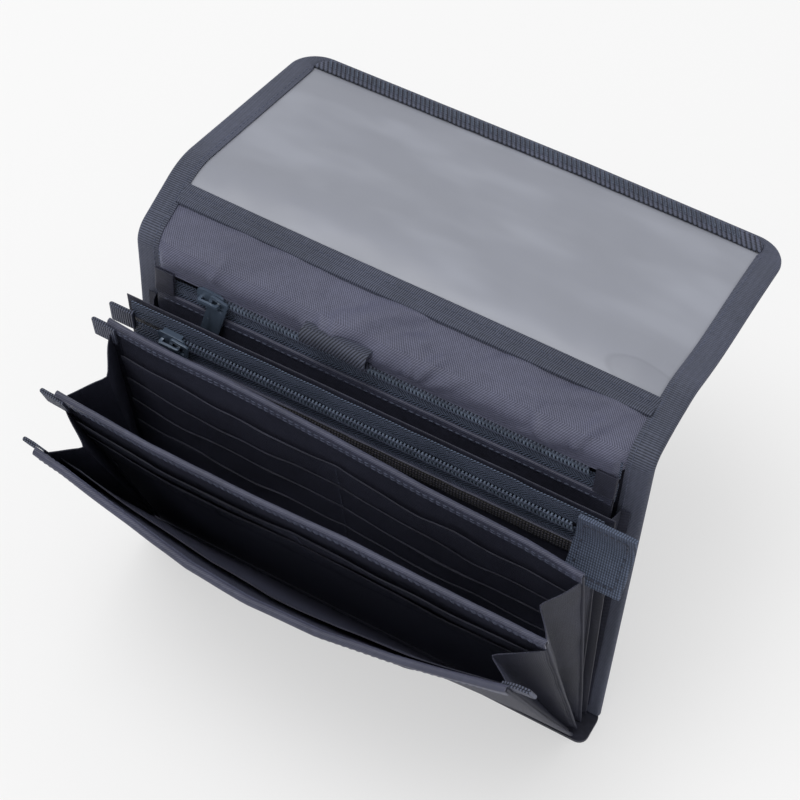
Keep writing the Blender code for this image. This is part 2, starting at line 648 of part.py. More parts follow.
def build_spine():
    """The flap's spine: its cloth, edge tape, the webbing at the window's mouth and the vinyl beyond it."""
    plate_width = BODY_WIDTH - 2 * (BINDING_THICKNESS + SEWN_GAP)
    half = plate_width / 2
    foot, top = SPINE_FOLD_REACH, SPINE_LENGTH - SPINE_LID_REACH
    outline = rounded(-half, half, foot, top, (0, 0, 0, 0))
    finish(sheet("spine_panel", SPINE, (outline,), -FLAP_FACE, FLAP_FACE), LINING, 0.7)
    for side, word in ((-1, "left"), (1, "right")):
        build_edge_tape(f"spine_binding_{word}", SPINE, side, foot, top, FLAP_THICKNESS)
    clear_half = BODY_WIDTH / 2 - BINDING_WIDTH - SEWN_GAP
    webbing_top = WEBBING_UP_SPINE + WEBBING_WIDTH
    webbing = block("window_mouth_webbing", SPINE, (2 * clear_half, WEBBING_THICKNESS, WEBBING_WIDTH),
                    (0, -(FLAP_FACE + SEWN_GAP + WEBBING_THICKNESS / 2), (WEBBING_UP_SPINE + webbing_top) / 2),
                    TAB_ROUND)
    finish(webbing, TAPE_BLUE, 0.75)
    vinyl = rounded(-clear_half, clear_half, webbing_top + SEWN_GAP, top, (0, 0, 0, 0))
    near = FLAP_FACE + SEWN_GAP
    finish(sheet("spine_window", SPINE, (vinyl,), near, near + WINDOW_THICKNESS), CLEAR_GREY, 0.3, 0, 0.5)


def build_lid():
    """The flap's lid: its cloth, a clear pocket over it, edge tape round three sides and the hook strip."""
    edge = BINDING_THICKNESS + SEWN_GAP
    half, foot, top = BODY_WIDTH / 2, LID_FOLD_REACH, LID_LENGTH
    inner_corner = LID_CORNER - edge
    cloth = rounded(edge - half, half - edge, foot, top - edge, (0, 0, inner_corner, inner_corner))
    finish(sheet("lid_panel", LID, (cloth,), -FLAP_FACE, FLAP_FACE), LINING, 0.7)
    finish(sheet("lid_window", LID, (cloth,), *WINDOW_LAYER), CLEAR_GREY, 0.3, 0, 0.5)

    slot_back, slot_front = -FLAP_FACE - SEWN_GAP, WINDOW_LAYER[1] + SEWN_GAP
    outer = rounded(-half, half, foot, top, (0, 0, LID_CORNER, LID_CORNER))
    binding = as_mesh(sheet("lid_binding", LID, (outer,), slot_back - BINDING_THICKNESS,
                            slot_front + BINDING_THICKNESS))
    tape = BINDING_THICKNESS
    slot_corner = LID_CORNER - tape
    slot = rounded(tape - half, half - tape, foot - edge, top - tape, (0, 0, slot_corner, slot_corner))
    hollow = as_mesh(sheet("lid_binding_slot", LID, (slot,), slot_back, slot_front))
    open_half = half - BINDING_WIDTH
    open_corner = LID_CORNER - BINDING_WIDTH
    middle = rounded(-open_half, open_half, foot - edge, top - HOOK_EDGE, (0, 0, open_corner, open_corner))
    gap = as_mesh(sheet("lid_binding_middle", LID, (middle,), 2 * slot_back, 2 * slot_front))
    combine(binding, [hollow, gap], "DIFFERENCE")
    finish(binding, NAVY, 0.8)

    hook_top = top - HOOK_EDGE - SEWN_GAP
    hook_half = open_half - HOOK_SIDE
    hook_corner = HOOK_WIDTH - HOOK_SIDE
    strip = rounded(-hook_half, hook_half, hook_top - HOOK_WIDTH, hook_top, (0, 0, hook_corner, hook_corner))
    finish(sheet("hook_strip", LID, (strip,), *HOOK_LAYER), NAVY, 0.95)


def build_centre():
    """The centre zip pocket: two walls, the zip between them, its mesh band, end tab and ribbon tab."""
    rear = leaf_plate("centre_rear_wall", CENTRE, LEAF_WIDTH, WALL_THICKNESS, CENTRE_HEIGHT, CENTRE_SET_BACK)
    finish(rear, NAVY, 0.85)
    build_zip("centre", CENTRE, CENTRE_ZIP_UP, CENTRE_TAPE_AHEAD, CENTRE_ZIP_START, CENTRE_ZIP_END,
              CENTRE_POCKET_WIDTH, CENTRE_PULL_LENGTH, CENTRE_PULL_SWING)
    pocket = wall("centre_front_wall", CENTRE, CENTRE_POCKET_WIDTH, WALL_FOOT, CENTRE_WALL_TOP,
                  *CENTRE_WALL_DEPTHS, WALL_THICKNESS)
    finish(pocket, NAVY, 0.85)
    near = CENTRE_WALL_DEPTHS[1] + WALL_SEAT
    tab_side = LEAF_WIDTH / 2 + END_TAB_PAST_SIDE - END_TAB_LENGTH
    band_top = CENTRE_WALL_TOP - MESH_BAND_DROP
    band = rounded(-CENTRE_POCKET_WIDTH / 2, tab_side - SEWN_GAP, band_top - MESH_BAND_HEIGHT, band_top,
                   (0, 0, 0, 0))
    finish(sheet("centre_mesh_band", CENTRE, (band,), near, near + MESH_BAND_THICKNESS), MESH_BROWN, 0.9)
    tab = block("centre_zip_end_tab", CENTRE, (END_TAB_LENGTH, END_TAB_THICKNESS, END_TAB_HEIGHT),
                (tab_side + END_TAB_LENGTH / 2, -(near + END_TAB_THICKNESS / 2), CENTRE_ZIP_UP), END_TAB_ROUND)
    finish(tab, NAVY, 0.85)
    build_ribbon_tab("centre_left_tab", CENTRE, -1, CENTRE_ZIP_UP, CENTRE_TAPE_AHEAD + TAPE_FACE, LEAF_WIDTH / 2)


def build_divider(prefix, owner, height, slots):
    """A stiff divider with strips of card slots down its front and a ribbon tab at its left corner."""
    face = BOARD_THICKNESS / 2
    finish(leaf_plate(f"{prefix}_divider_board", owner, LEAF_WIDTH, BOARD_THICKNESS, height), NAVY, 0.85)
    for number in range(1, slots + 1):
        build_slot(f"{prefix}_slots_{number}", owner, height - number * SLOT_STEP, face, SLOT_WIDTH)
    tab_up = height - TAB_HEIGHT / 2 - TAB_DROP
    build_ribbon_tab(f"{prefix}_left_tab", owner, -1, tab_up, face, LEAF_WIDTH / 2)


def build_front():
    """The front, the slip pocket on its inner face, the loop strip outside and two ribbon tabs."""
    face = FRONT_THICKNESS / 2
    finish(leaf_plate("front_panel", FRONT, LEAF_WIDTH, FRONT_THICKNESS, FRONT_HEIGHT), NAVY, 0.85)
    behind = -(face + SEWN_GAP + WALL_THICKNESS / 2)
    slip = wall("front_slip_pocket", FRONT, SLIP_WIDTH, SLIP_FOOT, SLIP_HEIGHT, behind, behind,
                WALL_THICKNESS, SLIP_DIP)
    finish(slip, LINING, 0.7)
    half = LOOP_STRIP_LENGTH / 2
    low = LOOP_STRIP_UP - LOOP_STRIP_HEIGHT / 2
    outline = rounded(-half, half, low, low + LOOP_STRIP_HEIGHT, (LOOP_STRIP_CORNER,) * 4)
    near = face + SEWN_GAP
    finish(sheet("loop_strip", FRONT, (outline,), near, near + LOOP_STRIP_THICKNESS), NAVY, 0.95)
    tab_up = FRONT_HEIGHT - TAB_HEIGHT / 2 - TAB_DROP
    for side, word in ((-1, "left"), (1, "right")):
        build_ribbon_tab(f"front_{word}_tab", FRONT, side, tab_up, face, LEAF_WIDTH / 2, -1)


def build_gusset(name, foot, rear, rear_x, rear_face, front, front_x, front_behind):
    """A pleat between two leaves, folded inwards from the narrower one: its edges follow their faces."""
    lift = SEWN_GAP + GUSSET_CLOTH
    side = 1 if rear_x > 0 else -1
    rows = []
    for up, fold in ((foot, GUSSET_FOLD_FOOT), (GUSSET_TOP, GUSSET_FOLD_TOP)):
        near = rear.matrix_world @ Vector((rear_x, -(rear_face(up) + lift), up))
        far = front.matrix_world @ Vector((front_x, front_behind + lift, up))
        middle = (near + far) / 2
        middle.x = side * (min(abs(rear_x), abs(front_x)) - fold)
        rows.append((near, middle, far))
    mesh = bpy.data.meshes.new(name)
    work = bmesh.new()
    lower, upper = [[work.verts.new(point) for point in row] for row in rows]
    for index in (0, 1):
        work.faces.new((lower[index], lower[index + 1], upper[index + 1], upper[index]))
    bmesh.ops.triangulate(work, faces=work.faces)
    work.to_mesh(mesh)
    work.free()
    pleat = bpy.data.objects.new(name, mesh)
    PARTS.objects.link(pleat)
    pleat.parent = rear
    pleat.matrix_parent_inverse = rear.matrix_world.inverted()
    cloth = pleat.modifiers.new("Cloth", "SOLIDIFY")
    cloth.thickness = GUSSET_CLOTH
    cloth.offset = 0
    cloth.use_even_offset = True
    pleat.modifiers.new("Facets", "TRIANGULATE")
    finish(pleat, NAVY, 0.8)


def build_gussets():
    """Four pleats on each side, one for each bay. The rear bay's leaves part only some way up from the base."""

    def rear_wall(up):
        return wall_depth(up, REAR_WALL_TOP, *REAR_WALL_DEPTHS) + WALL_THICKNESS / 2

    def centre_wall(up):
        return wall_depth(up, CENTRE_WALL_TOP, *CENTRE_WALL_DEPTHS) + WALL_THICKNESS / 2

    def board(up):
        return BOARD_THICKNESS / 2

    centre_rear = CENTRE_SET_BACK + WALL_THICKNESS / 2
    leaf_x = LEAF_WIDTH / 2 - GUSSET_INSET
    back_x = REAR_POCKET_WIDTH / 2 - GUSSET_INSET
    centre_x = CENTRE_POCKET_WIDTH / 2 - GUSSET_INSET
    bays = (
        ("rear", REAR_GUSSET_FOOT, BACK, back_x, rear_wall, CENTRE, leaf_x, centre_rear),
        ("centre", GUSSET_FOOT, CENTRE, centre_x, centre_wall, CARD, leaf_x, BOARD_THICKNESS / 2),
        ("card", GUSSET_FOOT, CARD, leaf_x, board, NOTE, leaf_x, BOARD_THICKNESS / 2),
        ("note", GUSSET_FOOT, NOTE, leaf_x, board, FRONT, leaf_x, FRONT_THICKNESS / 2),
    )
    for word, foot, rear, rear_x, rear_face, front, front_x, behind in bays:
        for side, hand in ((-1, "left"), (1, "right")):
            build_gusset(f"{word}_gusset_{hand}", foot, rear, side * rear_x, rear_face,
                         front, side * front_x, behind)


def main():
    build_base()
    build_back()
    build_pen_loop()
    back_line = carried_holder("back_fold_seam", BACK, (0, 0, BACK_HEIGHT + BACK_FOLD_REACH))
    build_fold("back_fold", back_line, BACK_LEAN - SPINE_RISE + math.pi / 2, BACK_FOLD_REACH, SPINE_FOLD_REACH)
    lid_line = carried_holder("lid_fold_seam", SPINE, (0, 0, SPINE_LENGTH))
    build_fold("lid_fold", lid_line, SPINE_RISE - LID_FALL, SPINE_LID_REACH, LID_FOLD_REACH)
    build_spine()
    build_lid()
    build_centre()
    build_divider("card", CARD, CARD_HEIGHT, CARD_SLOTS)
    build_divider("note", NOTE, NOTE_HEIGHT, NOTE_SLOTS)
    build_front()
    build_gussets()


main()
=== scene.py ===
"""Stationery pouch: an accordion organiser of navy cloth, standing open with its flap folded back.

Metres, +Z up, +X along the width, -Y to the front. Every leaf has its own directions: x along the
width, up from its foot, and ahead towards the user. On the flap, up runs on over both folds, and
ahead is the lining's side.
"""

import math

import bmesh
import bpy
import numpy as np
from bpy.props import FloatProperty, FloatVectorProperty, PointerProperty
from bpy.types import Operator, Panel, PropertyGroup
from mathutils import Matrix, Vector, noise


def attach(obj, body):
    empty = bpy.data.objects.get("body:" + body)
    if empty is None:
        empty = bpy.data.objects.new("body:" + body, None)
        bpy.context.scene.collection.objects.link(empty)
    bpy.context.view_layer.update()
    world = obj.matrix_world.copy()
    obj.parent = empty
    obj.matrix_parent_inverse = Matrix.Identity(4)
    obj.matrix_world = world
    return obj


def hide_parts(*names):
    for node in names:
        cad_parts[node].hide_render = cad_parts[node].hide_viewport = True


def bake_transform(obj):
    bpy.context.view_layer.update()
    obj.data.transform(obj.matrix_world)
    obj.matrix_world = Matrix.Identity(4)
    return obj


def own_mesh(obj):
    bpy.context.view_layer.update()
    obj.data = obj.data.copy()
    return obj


bl_info = {
    "name": "Stationery pouch",
    "version": (1, 0, 0),
    "blender": (4, 5, 0),
    "location": "3D View > Sidebar > Pouch",
    "description": "Makes a soft accordion pouch piece by piece around its packed frame",
    "category": "Add Mesh",
}

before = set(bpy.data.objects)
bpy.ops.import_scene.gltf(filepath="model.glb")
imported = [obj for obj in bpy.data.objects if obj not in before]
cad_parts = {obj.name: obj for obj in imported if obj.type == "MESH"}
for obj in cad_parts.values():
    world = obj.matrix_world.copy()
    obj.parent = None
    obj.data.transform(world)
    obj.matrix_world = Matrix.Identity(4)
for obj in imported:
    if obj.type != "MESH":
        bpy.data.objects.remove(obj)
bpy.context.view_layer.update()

# Where each leaf meets the base (y and z), how many degrees it leans to the front, and how far above its
# foot its cloth starts
FEET = {"back": (0.0065, 0.0026), "centre": (0.0031, 0.0023), "card": (-0.0003, 0.0023),
        "note": (-0.0036, 0.0023), "front": (-0.0070, 0.0026)}
LEANS = {"back": -5.0, "centre": 0.5, "card": 5.5, "note": 17.5, "front": 28.0}
CLOTH_START = {"back": 0.0002, "centre": 0.0006, "card": 0.0008, "note": 0.0008, "front": 0.0010}
# The back's height to the fold, and half the width of the back and the flap
BACK_HEIGHT = 0.155
BODY_HALF = 0.105
# The flap: its two lengths, the radius of its corners, and its two slopes in degrees when thrown back
SPINE_LENGTH = 0.0302
FLAP_END = SPINE_LENGTH + 0.0907
LID_CORNER = 0.013
SPINE_RISE = 20.6
LID_FALL = -11.2
# Up the flap: where the fold's cloth starts and ends, and where the side tapes give way to the lid's
FOLD_LOW, FOLD_HIGH = -0.005, 0.017
TAPE_SPLIT = 0.0085
# Thickness of cloth: a board's cover, the flap, a divider, the front, a pocket's wall, and tape or a hem
COVER, FLAP_CLOTH, DIVIDER, FRONT_BOARD, WALL, TAPE = 0.0014, 0.0012, 0.0010, 0.0015, 0.0006, 0.0005
# A board's cloth ends this far inside the edge tape's outer edge
CLOTH_INSET = 0.0008
# How far the edge tape reaches behind the flap's middle
TAPE_BEHIND = 0.0015
# Both edges of a zip tape, from the middle of the coil
ZIP_TAPE_INNER, ZIP_TAPE_OUTER = 0.0012, 0.0100
# Radius of the thread, and of the heavier thread of the slots' seams with its pitch
THREAD = 0.00023
SEAM_THREAD, SEAM_PITCH = 0.00028, 0.0024
BLACK = (0, 0, 0, 1)
# How the photo was taken: the camera's place about its target in degrees and metres, and its focal length
# in pixels of a picture 800 pixels wide
CAMERA_TARGET = (0.017, 0.001, 0.156)
CAMERA_AZIMUTH, CAMERA_ELEVATION, CAMERA_DISTANCE = 30.1, 53.0, 0.669
FOCAL_PIXELS, PICTURE_PIXELS, SENSOR_MM = 1950, 800, 36
# The light: one large lamp above and evenly white surroundings
LAMP_PLACE, LAMP_TARGET, LAMP_WATTS, LAMP_SIZE = (-0.5, -0.4, 2.7), (0, 0, 0.08), 42, 1.7
SKY_STRENGTH = 0.62
FLOOR_GLOW = 0.56


# ---------------------------------------------------------------- leaves and the flap as surfaces

def spread(xs, values, power, height):
    """How far a leaf bows ahead of its plane: given along x at the leaf's height, and fading to its foot."""
    def bow(x, up):
        share = np.clip(up / height, 0, 1.2) ** power
        return np.interp(x, xs, values) * share
    return bow


def drawn_in(x, up):
    """How far the front's upper corners are drawn in and down by their gussets, the right one most."""
    rise = np.clip(up / 0.134, 0, 1.05) ** 3
    right = np.clip((x - 0.055) / 0.045, 0, 1) ** 2 * rise
    left = np.clip((-x - 0.065) / 0.035, 0, 1) ** 2 * rise
    return 0.0030 * left - 0.0060 * right, -0.0010 * left - 0.0045 * right


class Leaf:
    """A leaf's plane with its bow: at() gives world points from x, up and ahead."""

    def __init__(self, name, bow=None, drawn=None):
        self.name = name
        self.foot_y, self.foot_z = FEET[name]
        self.lean = math.radians(LEANS[name])
        self.bow = bow or (lambda x, up: 0 * x)
        self.drawn = drawn

    def at(self, x, up, ahead=0.0):
        x, up, ahead = np.broadcast_arrays(*(np.asarray(v, float) for v in (x, up, ahead)))
        ahead = ahead + self.bow(x, up)
        if self.drawn:
            sideways, upward = self.drawn(x, up)
            x, up = x + sideways, up + upward
        sine, cosine = math.sin(self.lean), math.cos(self.lean)
        return np.stack([x, self.foot_y - sine * up - cosine * ahead,
                         self.foot_z + cosine * up - sine * ahead], -1)

    def directions(self):
        """World directions of up the leaf and of ahead of it."""
        sine, cosine = math.sin(self.lean), math.cos(self.lean)
        return Vector((0, -sine, cosine)), Vector((0, -cosine, -sine))

    def extent(self, node):
        """Lowest and highest x, up and ahead of a CAD node, without the bow."""
        points = np.array([v.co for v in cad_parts[node].data.vertices], float).reshape(-1, 3)
        up_way, ahead_way = (np.array(way) for way in self.directions())
        shifted = points - np.array((0, self.foot_y, self.foot_z))
        inside = np.stack([shifted[:, 0], shifted @ up_way, shifted @ ahead_way], -1)
        return inside.min(0), inside.max(0)


class Flap:
    """The flap from the back's top over its two rounded folds. Up is 0 at the back fold's line."""

    BACK_ROUND = 0.0080
    LID_ROUND = 0.0260

    def __init__(self):
        self.back = Leaf("back")
        self.start = np.array(self.back.at(0, BACK_HEIGHT)[1:])
        self.headings = [math.pi / 2 + math.radians(LEANS["back"]), math.radians(SPINE_RISE),
                         math.radians(LID_FALL)]

    @staticmethod
    def way(heading):
        return np.stack([np.cos(heading), np.sin(heading)], -1)

    @staticmethod
    def side(heading):
        return np.stack([-np.sin(heading), np.cos(heading)], -1)

    def at(self, x, up, ahead=0.0):
        x, up, ahead = np.broadcast_arrays(*(np.asarray(v, float) for v in (x, up, ahead)))
        first, second, third = self.headings
        place = self.start + self.way(np.full(up.shape, second)) * up[..., None]
        heading = np.full(up.shape, second)
        low = up < 0
        below = self.start + self.way(np.full(up.shape, first)) * up[..., None]
        place = np.where(low[..., None], below, place)
        heading = np.where(low, first, heading)
        corner = self.start + self.way(np.float64(second)) * SPINE_LENGTH
        high = up > SPINE_LENGTH
        beyond = corner + self.way(np.full(up.shape, third)) * (up - SPINE_LENGTH)[..., None]
        place = np.where(high[..., None], beyond, place)
        heading = np.where(high, third, heading)
        for point, middle, before, after, radius in (
                (self.start, 0.0, first, second, self.BACK_ROUND),
                (corner, SPINE_LENGTH, second, third, self.LID_ROUND)):
            bend = before - after
            reach = radius * math.tan(bend / 2)
            share = (up - middle + reach) / (2 * reach)
            inside = (share > 0) & (share < 1)
            turned = before - bend * np.clip(share, 0, 1)
            centre = point - reach * self.way(np.float64(before)) - radius * self.side(np.float64(before))
            place = np.where(inside[..., None], centre + radius * self.side(turned), place)
            heading = np.where(inside, turned, heading)
        place = place + self.side(heading) * ahead[..., None]
        points = np.concatenate([x[..., None], place], -1)
        points[..., 2] -= self.droop(x, up)
        return points

    @staticmethod
    def droop(x, up):
        """The thrown-back flap hangs lower along its right side."""
        across = np.clip((x + 0.02) / 0.125, 0, 1.1) ** 2
        along = np.exp(-((up - 0.048) / 0.038) ** 2) * np.clip((up - 0.004) / 0.02, 0, 1)
        return 0.0062 * across * along + 0.0018 * np.clip((x - 0.02) / 0.085, 0, 1) * np.clip(up / 0.1, 0, 1)


BACK = Leaf("back")
CENTRE = Leaf("centre")
CARD = Leaf("card", spread((-0.100, -0.080, -0.046, -0.026, 0.0, 0.036, 0.076, 0.100),
                           (-0.0036, -0.0020, -0.0016, -0.0008, 0.0006, 0.0030, 0.0044, 0.0068), 1.4, 0.137))
NOTE = Leaf("note", spread((-0.100, -0.057, -0.015, 0.022, 0.056, 0.100),
                           (-0.0014, 0.0010, 0.0012, 0.0003, 0.0009, 0.0012), 1.3, 0.137))
FRONT = Leaf("front", spread((-0.102, -0.085, -0.055, -0.025, 0.0, 0.028, 0.055, 0.085, 0.102),
                             (-0.0076, -0.0058, -0.0010, 0.0038, 0.0054, 0.0044, 0.0006, -0.0048, -0.0078),
                             1.5, 0.134), drawn_in)
FLAP = Flap()
SQUASHED = {"card": "card_fan", "note": "note_fan", "front": "front_fan"}
# A zip's front tape slopes forward from beside the coil, and the wall below swells: start, knee and slope
SWELLS = {"back": (0.1386, 0.1315, 0.16), "centre": (0.1261, 0.1190, 0.15)}
BODY_OF = {"back": "back", "centre": "centre_pocket", "card": "card_divider", "note": "note_divider",
           "front": "front"}


def swell(leaf, up):
    """How far a zip pocket's front stands ahead of its flat place."""
    if leaf.name not in SWELLS:
        return 0 * up
    start, knee, slope = SWELLS[leaf.name]
    top = slope * np.clip(start - up, 0, start - knee)
    return np.where(up > knee, top, slope * (start - knee) * np.clip(up / knee, 0, 1) ** 1.5)


# ---------------------------------------------------------------- meshes

def piece(name, vertices, faces, uvs, smooth=38):
    """A new object with its place in its mesh. uvs has one pair, in metres, for each face corner."""
    mesh = bpy.data.meshes.new(name)
    mesh.from_pydata(np.asarray(vertices).reshape(-1, 3).tolist(), [], faces)
    layer = mesh.uv_layers.new(name="UVMap")
    layer.data.foreach_set("uv", np.asarray(uvs, np.float32).ravel())
    work = bmesh.new()
    work.from_mesh(mesh)
    bmesh.ops.recalc_face_normals(work, faces=work.faces)
    work.to_mesh(mesh)
    work.free()
    mesh.polygons.foreach_set("use_smooth", [True] * len(mesh.polygons))
    mesh.set_sharp_from_angle(angle=math.radians(smooth))
    thing = bpy.data.objects.new(name, mesh)
    bpy.context.scene.collection.objects.link(thing)
    return thing


def shell(name, near, far, uv):
    """A closed skin between two grids of points of the same shape. uv is a grid of pairs in metres."""
    rows, cols = near.shape[:2]
    count = rows * cols
    index = np.arange(count).reshape(rows, cols)
    faces, uvs = [], []
    flat = uv.reshape(-1, 2)

    def add(*corners):
        faces.append(tuple(int(c) for c in corners))
        uvs.extend(flat[c % count] for c in corners)

    for row in range(rows - 1):
        for col in range(cols - 1):
            a, b = index[row, col], index[row, col + 1]
            c, d = index[row + 1, col + 1], index[row + 1, col]
            add(a, b, c, d)
            add(d + count, c + count, b + count, a + count)
    for row in range(rows - 1):
        for col in (0, cols - 1):
            a, b = index[row, col], index[row + 1, col]
            add(a, b, b + count, a + count)
    for col in range(cols - 1):
        for row in (0, rows - 1):
            a, b = index[row, col], index[row, col + 1]
            add(a, b, b + count, a + count)
    points = np.concatenate([near.reshape(-1, 3), far.reshape(-1, 3)])
    return piece(name, points, faces, uvs)


def lines(low, high, count, thickness):
    """Places of a sheet's grid lines, with two more near each edge for its rounding."""
    inner = np.linspace(low + thickness / 2, high - thickness / 2, count)
    return np.concatenate([[low, low + thickness * 0.16], inner, [high - thickness * 0.16, high]])


def half_thickness(xs, ups, thickness):
    """Half the thickness over a sheet's grid, rounded down to its rims."""
    def rim(values):
        edge = np.minimum(values - values[0], values[-1] - values) / (thickness / 2)
        return np.sqrt(np.clip(1 - (1 - np.clip(edge, 0, 1)) ** 2, 0.06, 1))
    return thickness / 2 * np.minimum.outer(rim(xs), rim(ups))


def ripple(x, up, size, length, seed):
    """Soft waves of cloth over a sheet."""
    out = np.zeros(np.broadcast(x, up).shape)
    flat = out.ravel()
    xs, ups = (np.broadcast_to(v, out.shape).ravel() for v in (x, up))
    for index in range(flat.size):
        flat[index] = noise.noise(Vector((xs[index] / length + seed, ups[index] / length, seed * 1.7)))
    return flat.reshape(out.shape) * size


def sheet(name, surface, x_range, up_range, thickness, ahead, counts, wave=None, outline=None, top=None):
    """A sheet of cloth on a leaf. ahead may be a function of x and up; outline moves x, top moves up."""
    xs = lines(*x_range, counts[0], thickness)
    ups = lines(*up_range, counts[1], thickness)
    x, up = np.meshgrid(xs, ups, indexing="ij")
    half = half_thickness(xs, ups, thickness)
    if top is not None:
        share = (up - up_range[0]) / (up_range[1] - up_range[0])
        up = up + share ** 3 * top(x)
    if outline is not None:
        x = outline(x, up)
    depth = ahead(x, up) if callable(ahead) else np.full(x.shape, ahead)
    if wave is not None:
        depth = depth + wave(x, up)
    near, far = surface.at(x, up, depth + half), surface.at(x, up, depth - half)
    return shell(name, near, far, np.stack([x, up], -1))


def unit(vector):
    return vector / np.linalg.norm(vector)


def run_lengths(points):
    """How far each point of a path lies along it."""
    return np.concatenate([[0], np.cumsum(np.linalg.norm(np.diff(points, axis=0), axis=1))])


def beside(line, thickness):
    """From each point of a flat line to one face of the cloth that it is the middle of."""
    steps = np.gradient(line, axis=0)
    steps /= np.maximum(np.linalg.norm(steps, axis=1, keepdims=True), 1e-12)
    return np.stack([-steps[:, 1], steps[:, 0]], -1) * thickness / 2


def band(name, stations, centre_lines, thickness):
    """A ribbon folded to a section that follows a path. Each station is a point, two directions and a
    distance; its centre line is a list of places along those two directions."""
    rows, columns, distances = len(stations), len(centre_lines[0]), []
    near, far = np.zeros((rows, columns, 3)), np.zeros((rows, columns, 3))
    for row, ((origin, one, two, distance), line) in enumerate(zip(stations, centre_lines)):
        line = np.asarray(line, float)
        out = beside(line, thickness)
        for target, sign in ((near, 1), (far, -1)):
            flat = line + sign * out
            target[row] = np.asarray(origin) + flat[:, :1] * np.asarray(one) + flat[:, 1:] * np.asarray(two)
        distances.append(np.stack([np.full(columns, distance), run_lengths(line)], -1))
    return shell(name, near, far, np.array(distances))


def tube_form(path, radius, sides, caps=True):
    """Vertices and faces of a tube along a path, in the path's own coordinates."""
    path = np.asarray(path, float)
    ways = np.gradient(path, axis=0)
    ways /= np.linalg.norm(ways, axis=1, keepdims=True)
    radii = np.broadcast_to(radius, len(path))
    vertices = []
    for point, way, size in zip(path, ways, radii):
        other = np.array((0, 0, 1.0)) if abs(way[2]) < 0.8 else np.array((1.0, 0, 0))
        one = np.cross(way, other)
        one /= np.linalg.norm(one)
        two = np.cross(way, one)
        for side in range(sides):
            angle = 2 * math.pi * side / sides
            vertices.append(point + size * (math.cos(angle) * one + math.sin(angle) * two))
    faces = []
    for row in range(len(path) - 1):
        for side in range(sides):
            following = (side + 1) % sides
            faces.append((row * sides + side, row * sides + following,
                          (row + 1) * sides + following, (row + 1) * sides + side))
    if caps:
        faces.append(tuple(range(sides)))
        faces.append(tuple((len(path) - 1) * sides + side for side in reversed(range(sides))))
    return np.array(vertices), faces


def scattered(name, surface, form, spots):
    """The same small form at many spots of a leaf. A spot is x, up, ahead and a turn in the leaf's plane."""
    vertices, faces = form
    spots = np.asarray(spots, float)
    cosine, sine = np.cos(spots[:, 3])[:, None], np.sin(spots[:, 3])[:, None]
    x = spots[:, :1] + vertices[:, 0] * cosine - vertices[:, 1] * sine
    up = spots[:, 1:2] + vertices[:, 0] * sine + vertices[:, 1] * cosine
    ahead = spots[:, 2:3] + vertices[:, 2]
    points = surface.at(x, up, ahead)
    every, uvs = [], []
    for number in range(len(spots)):
        start = number * len(vertices)
        for face in faces:
            every.append(tuple(start + corner for corner in face))
            uvs.extend((x[number, corner], up[number, corner]) for corner in face)
    return piece(name, points.reshape(-1, 3), every, uvs, 60)


def stitch_form(length=0.0019, radius=THREAD):
    """One stitch of thread, sunk at both ends."""
    shares = np.linspace(-0.5, 0.5, 6)
    rise = radius * 0.7 * (1 - (2 * shares) ** 4) - radius * 0.5
    path = np.stack([shares * length, 0 * shares, rise], -1)
    return tube_form(path, radius * (1 - 0.55 * (2 * np.abs(shares)) ** 5), 5)


def stitch_line(x0, up0, x1, up1, ahead, pitch=0.0027):
    """Spots of a straight run of stitches. ahead may be a function of x and up."""
    length = math.hypot(x1 - x0, up1 - up0)
    count = max(int(round(length / pitch)), 1)
    shares = (np.arange(count) + 0.5) / count
    x, up = x0 + (x1 - x0) * shares, up0 + (up1 - up0) * shares
    depth = ahead(x, up) if callable(ahead) else np.full(count, ahead)
    turn = np.full(count, math.atan2(up1 - up0, x1 - x0))
    return np.stack([x, up, depth, turn], -1)


def select(*things):
    """Select these objects alone. The first one is active."""
    bpy.ops.object.select_all(action="DESELECT")
    for thing in things:
        thing.select_set(True)
    bpy.context.view_layer.objects.active = things[0]


def joined(name, *things):
    """Several objects as one."""
    select(*things)
    bpy.ops.object.join()
    things[0].name = name
    things[0].data.name = name
    bpy.ops.object.select_all(action="DESELECT")
    return things[0]


def finish(name):
    """The pouch's own material of this name. The frame's materials go by the bare names."""
    return bpy.data.materials[f"pouch_{name}"]


def dress(thing, material):
    """Give a piece its material."""
    thing.data.materials.clear()
    thing.data.materials.append(finish(material))
    return thing


def stitches(name, surface, spots, form=None, material="thread"):
    """Stitches at many spots of a leaf."""
    return dress(scattered(name, surface, form or stitch_form(), spots), material)


def press(thing, leaf):
    """A piece rides on its leaf's body and gets a mesh of its own."""
    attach(thing, BODY_OF[leaf.name])
    ahead_way = leaf.directions()[1]
    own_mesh(thing)


def carry(thing, leaf):
    """A piece rides on its leaf's body; pieces of the three front leaves also get a mesh of their own."""
    if leaf.name in SQUASHED:
        press(thing, leaf)
    else:
        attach(thing, BODY_OF[leaf.name])


# Each fold of the flap: its two bodies, and the stretch up the flap in which the cloth turns
FOLDS = {"back": ("back", "spine", -0.0045, 0.0075),
         "lid": ("spine", "lid", SPINE_LENGTH - 0.0075, SPINE_LENGTH + 0.0085)}


def bend_over(thing, fold):
    """A piece of the flap gets its place baked into its mesh."""
    first, second, start, end = FOLDS[fold]
    tuple(FLAP.at(0, start))
    tuple(FLAP.at(0, end))
    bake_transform(thing)


# ---------------------------------------------------------------- materials

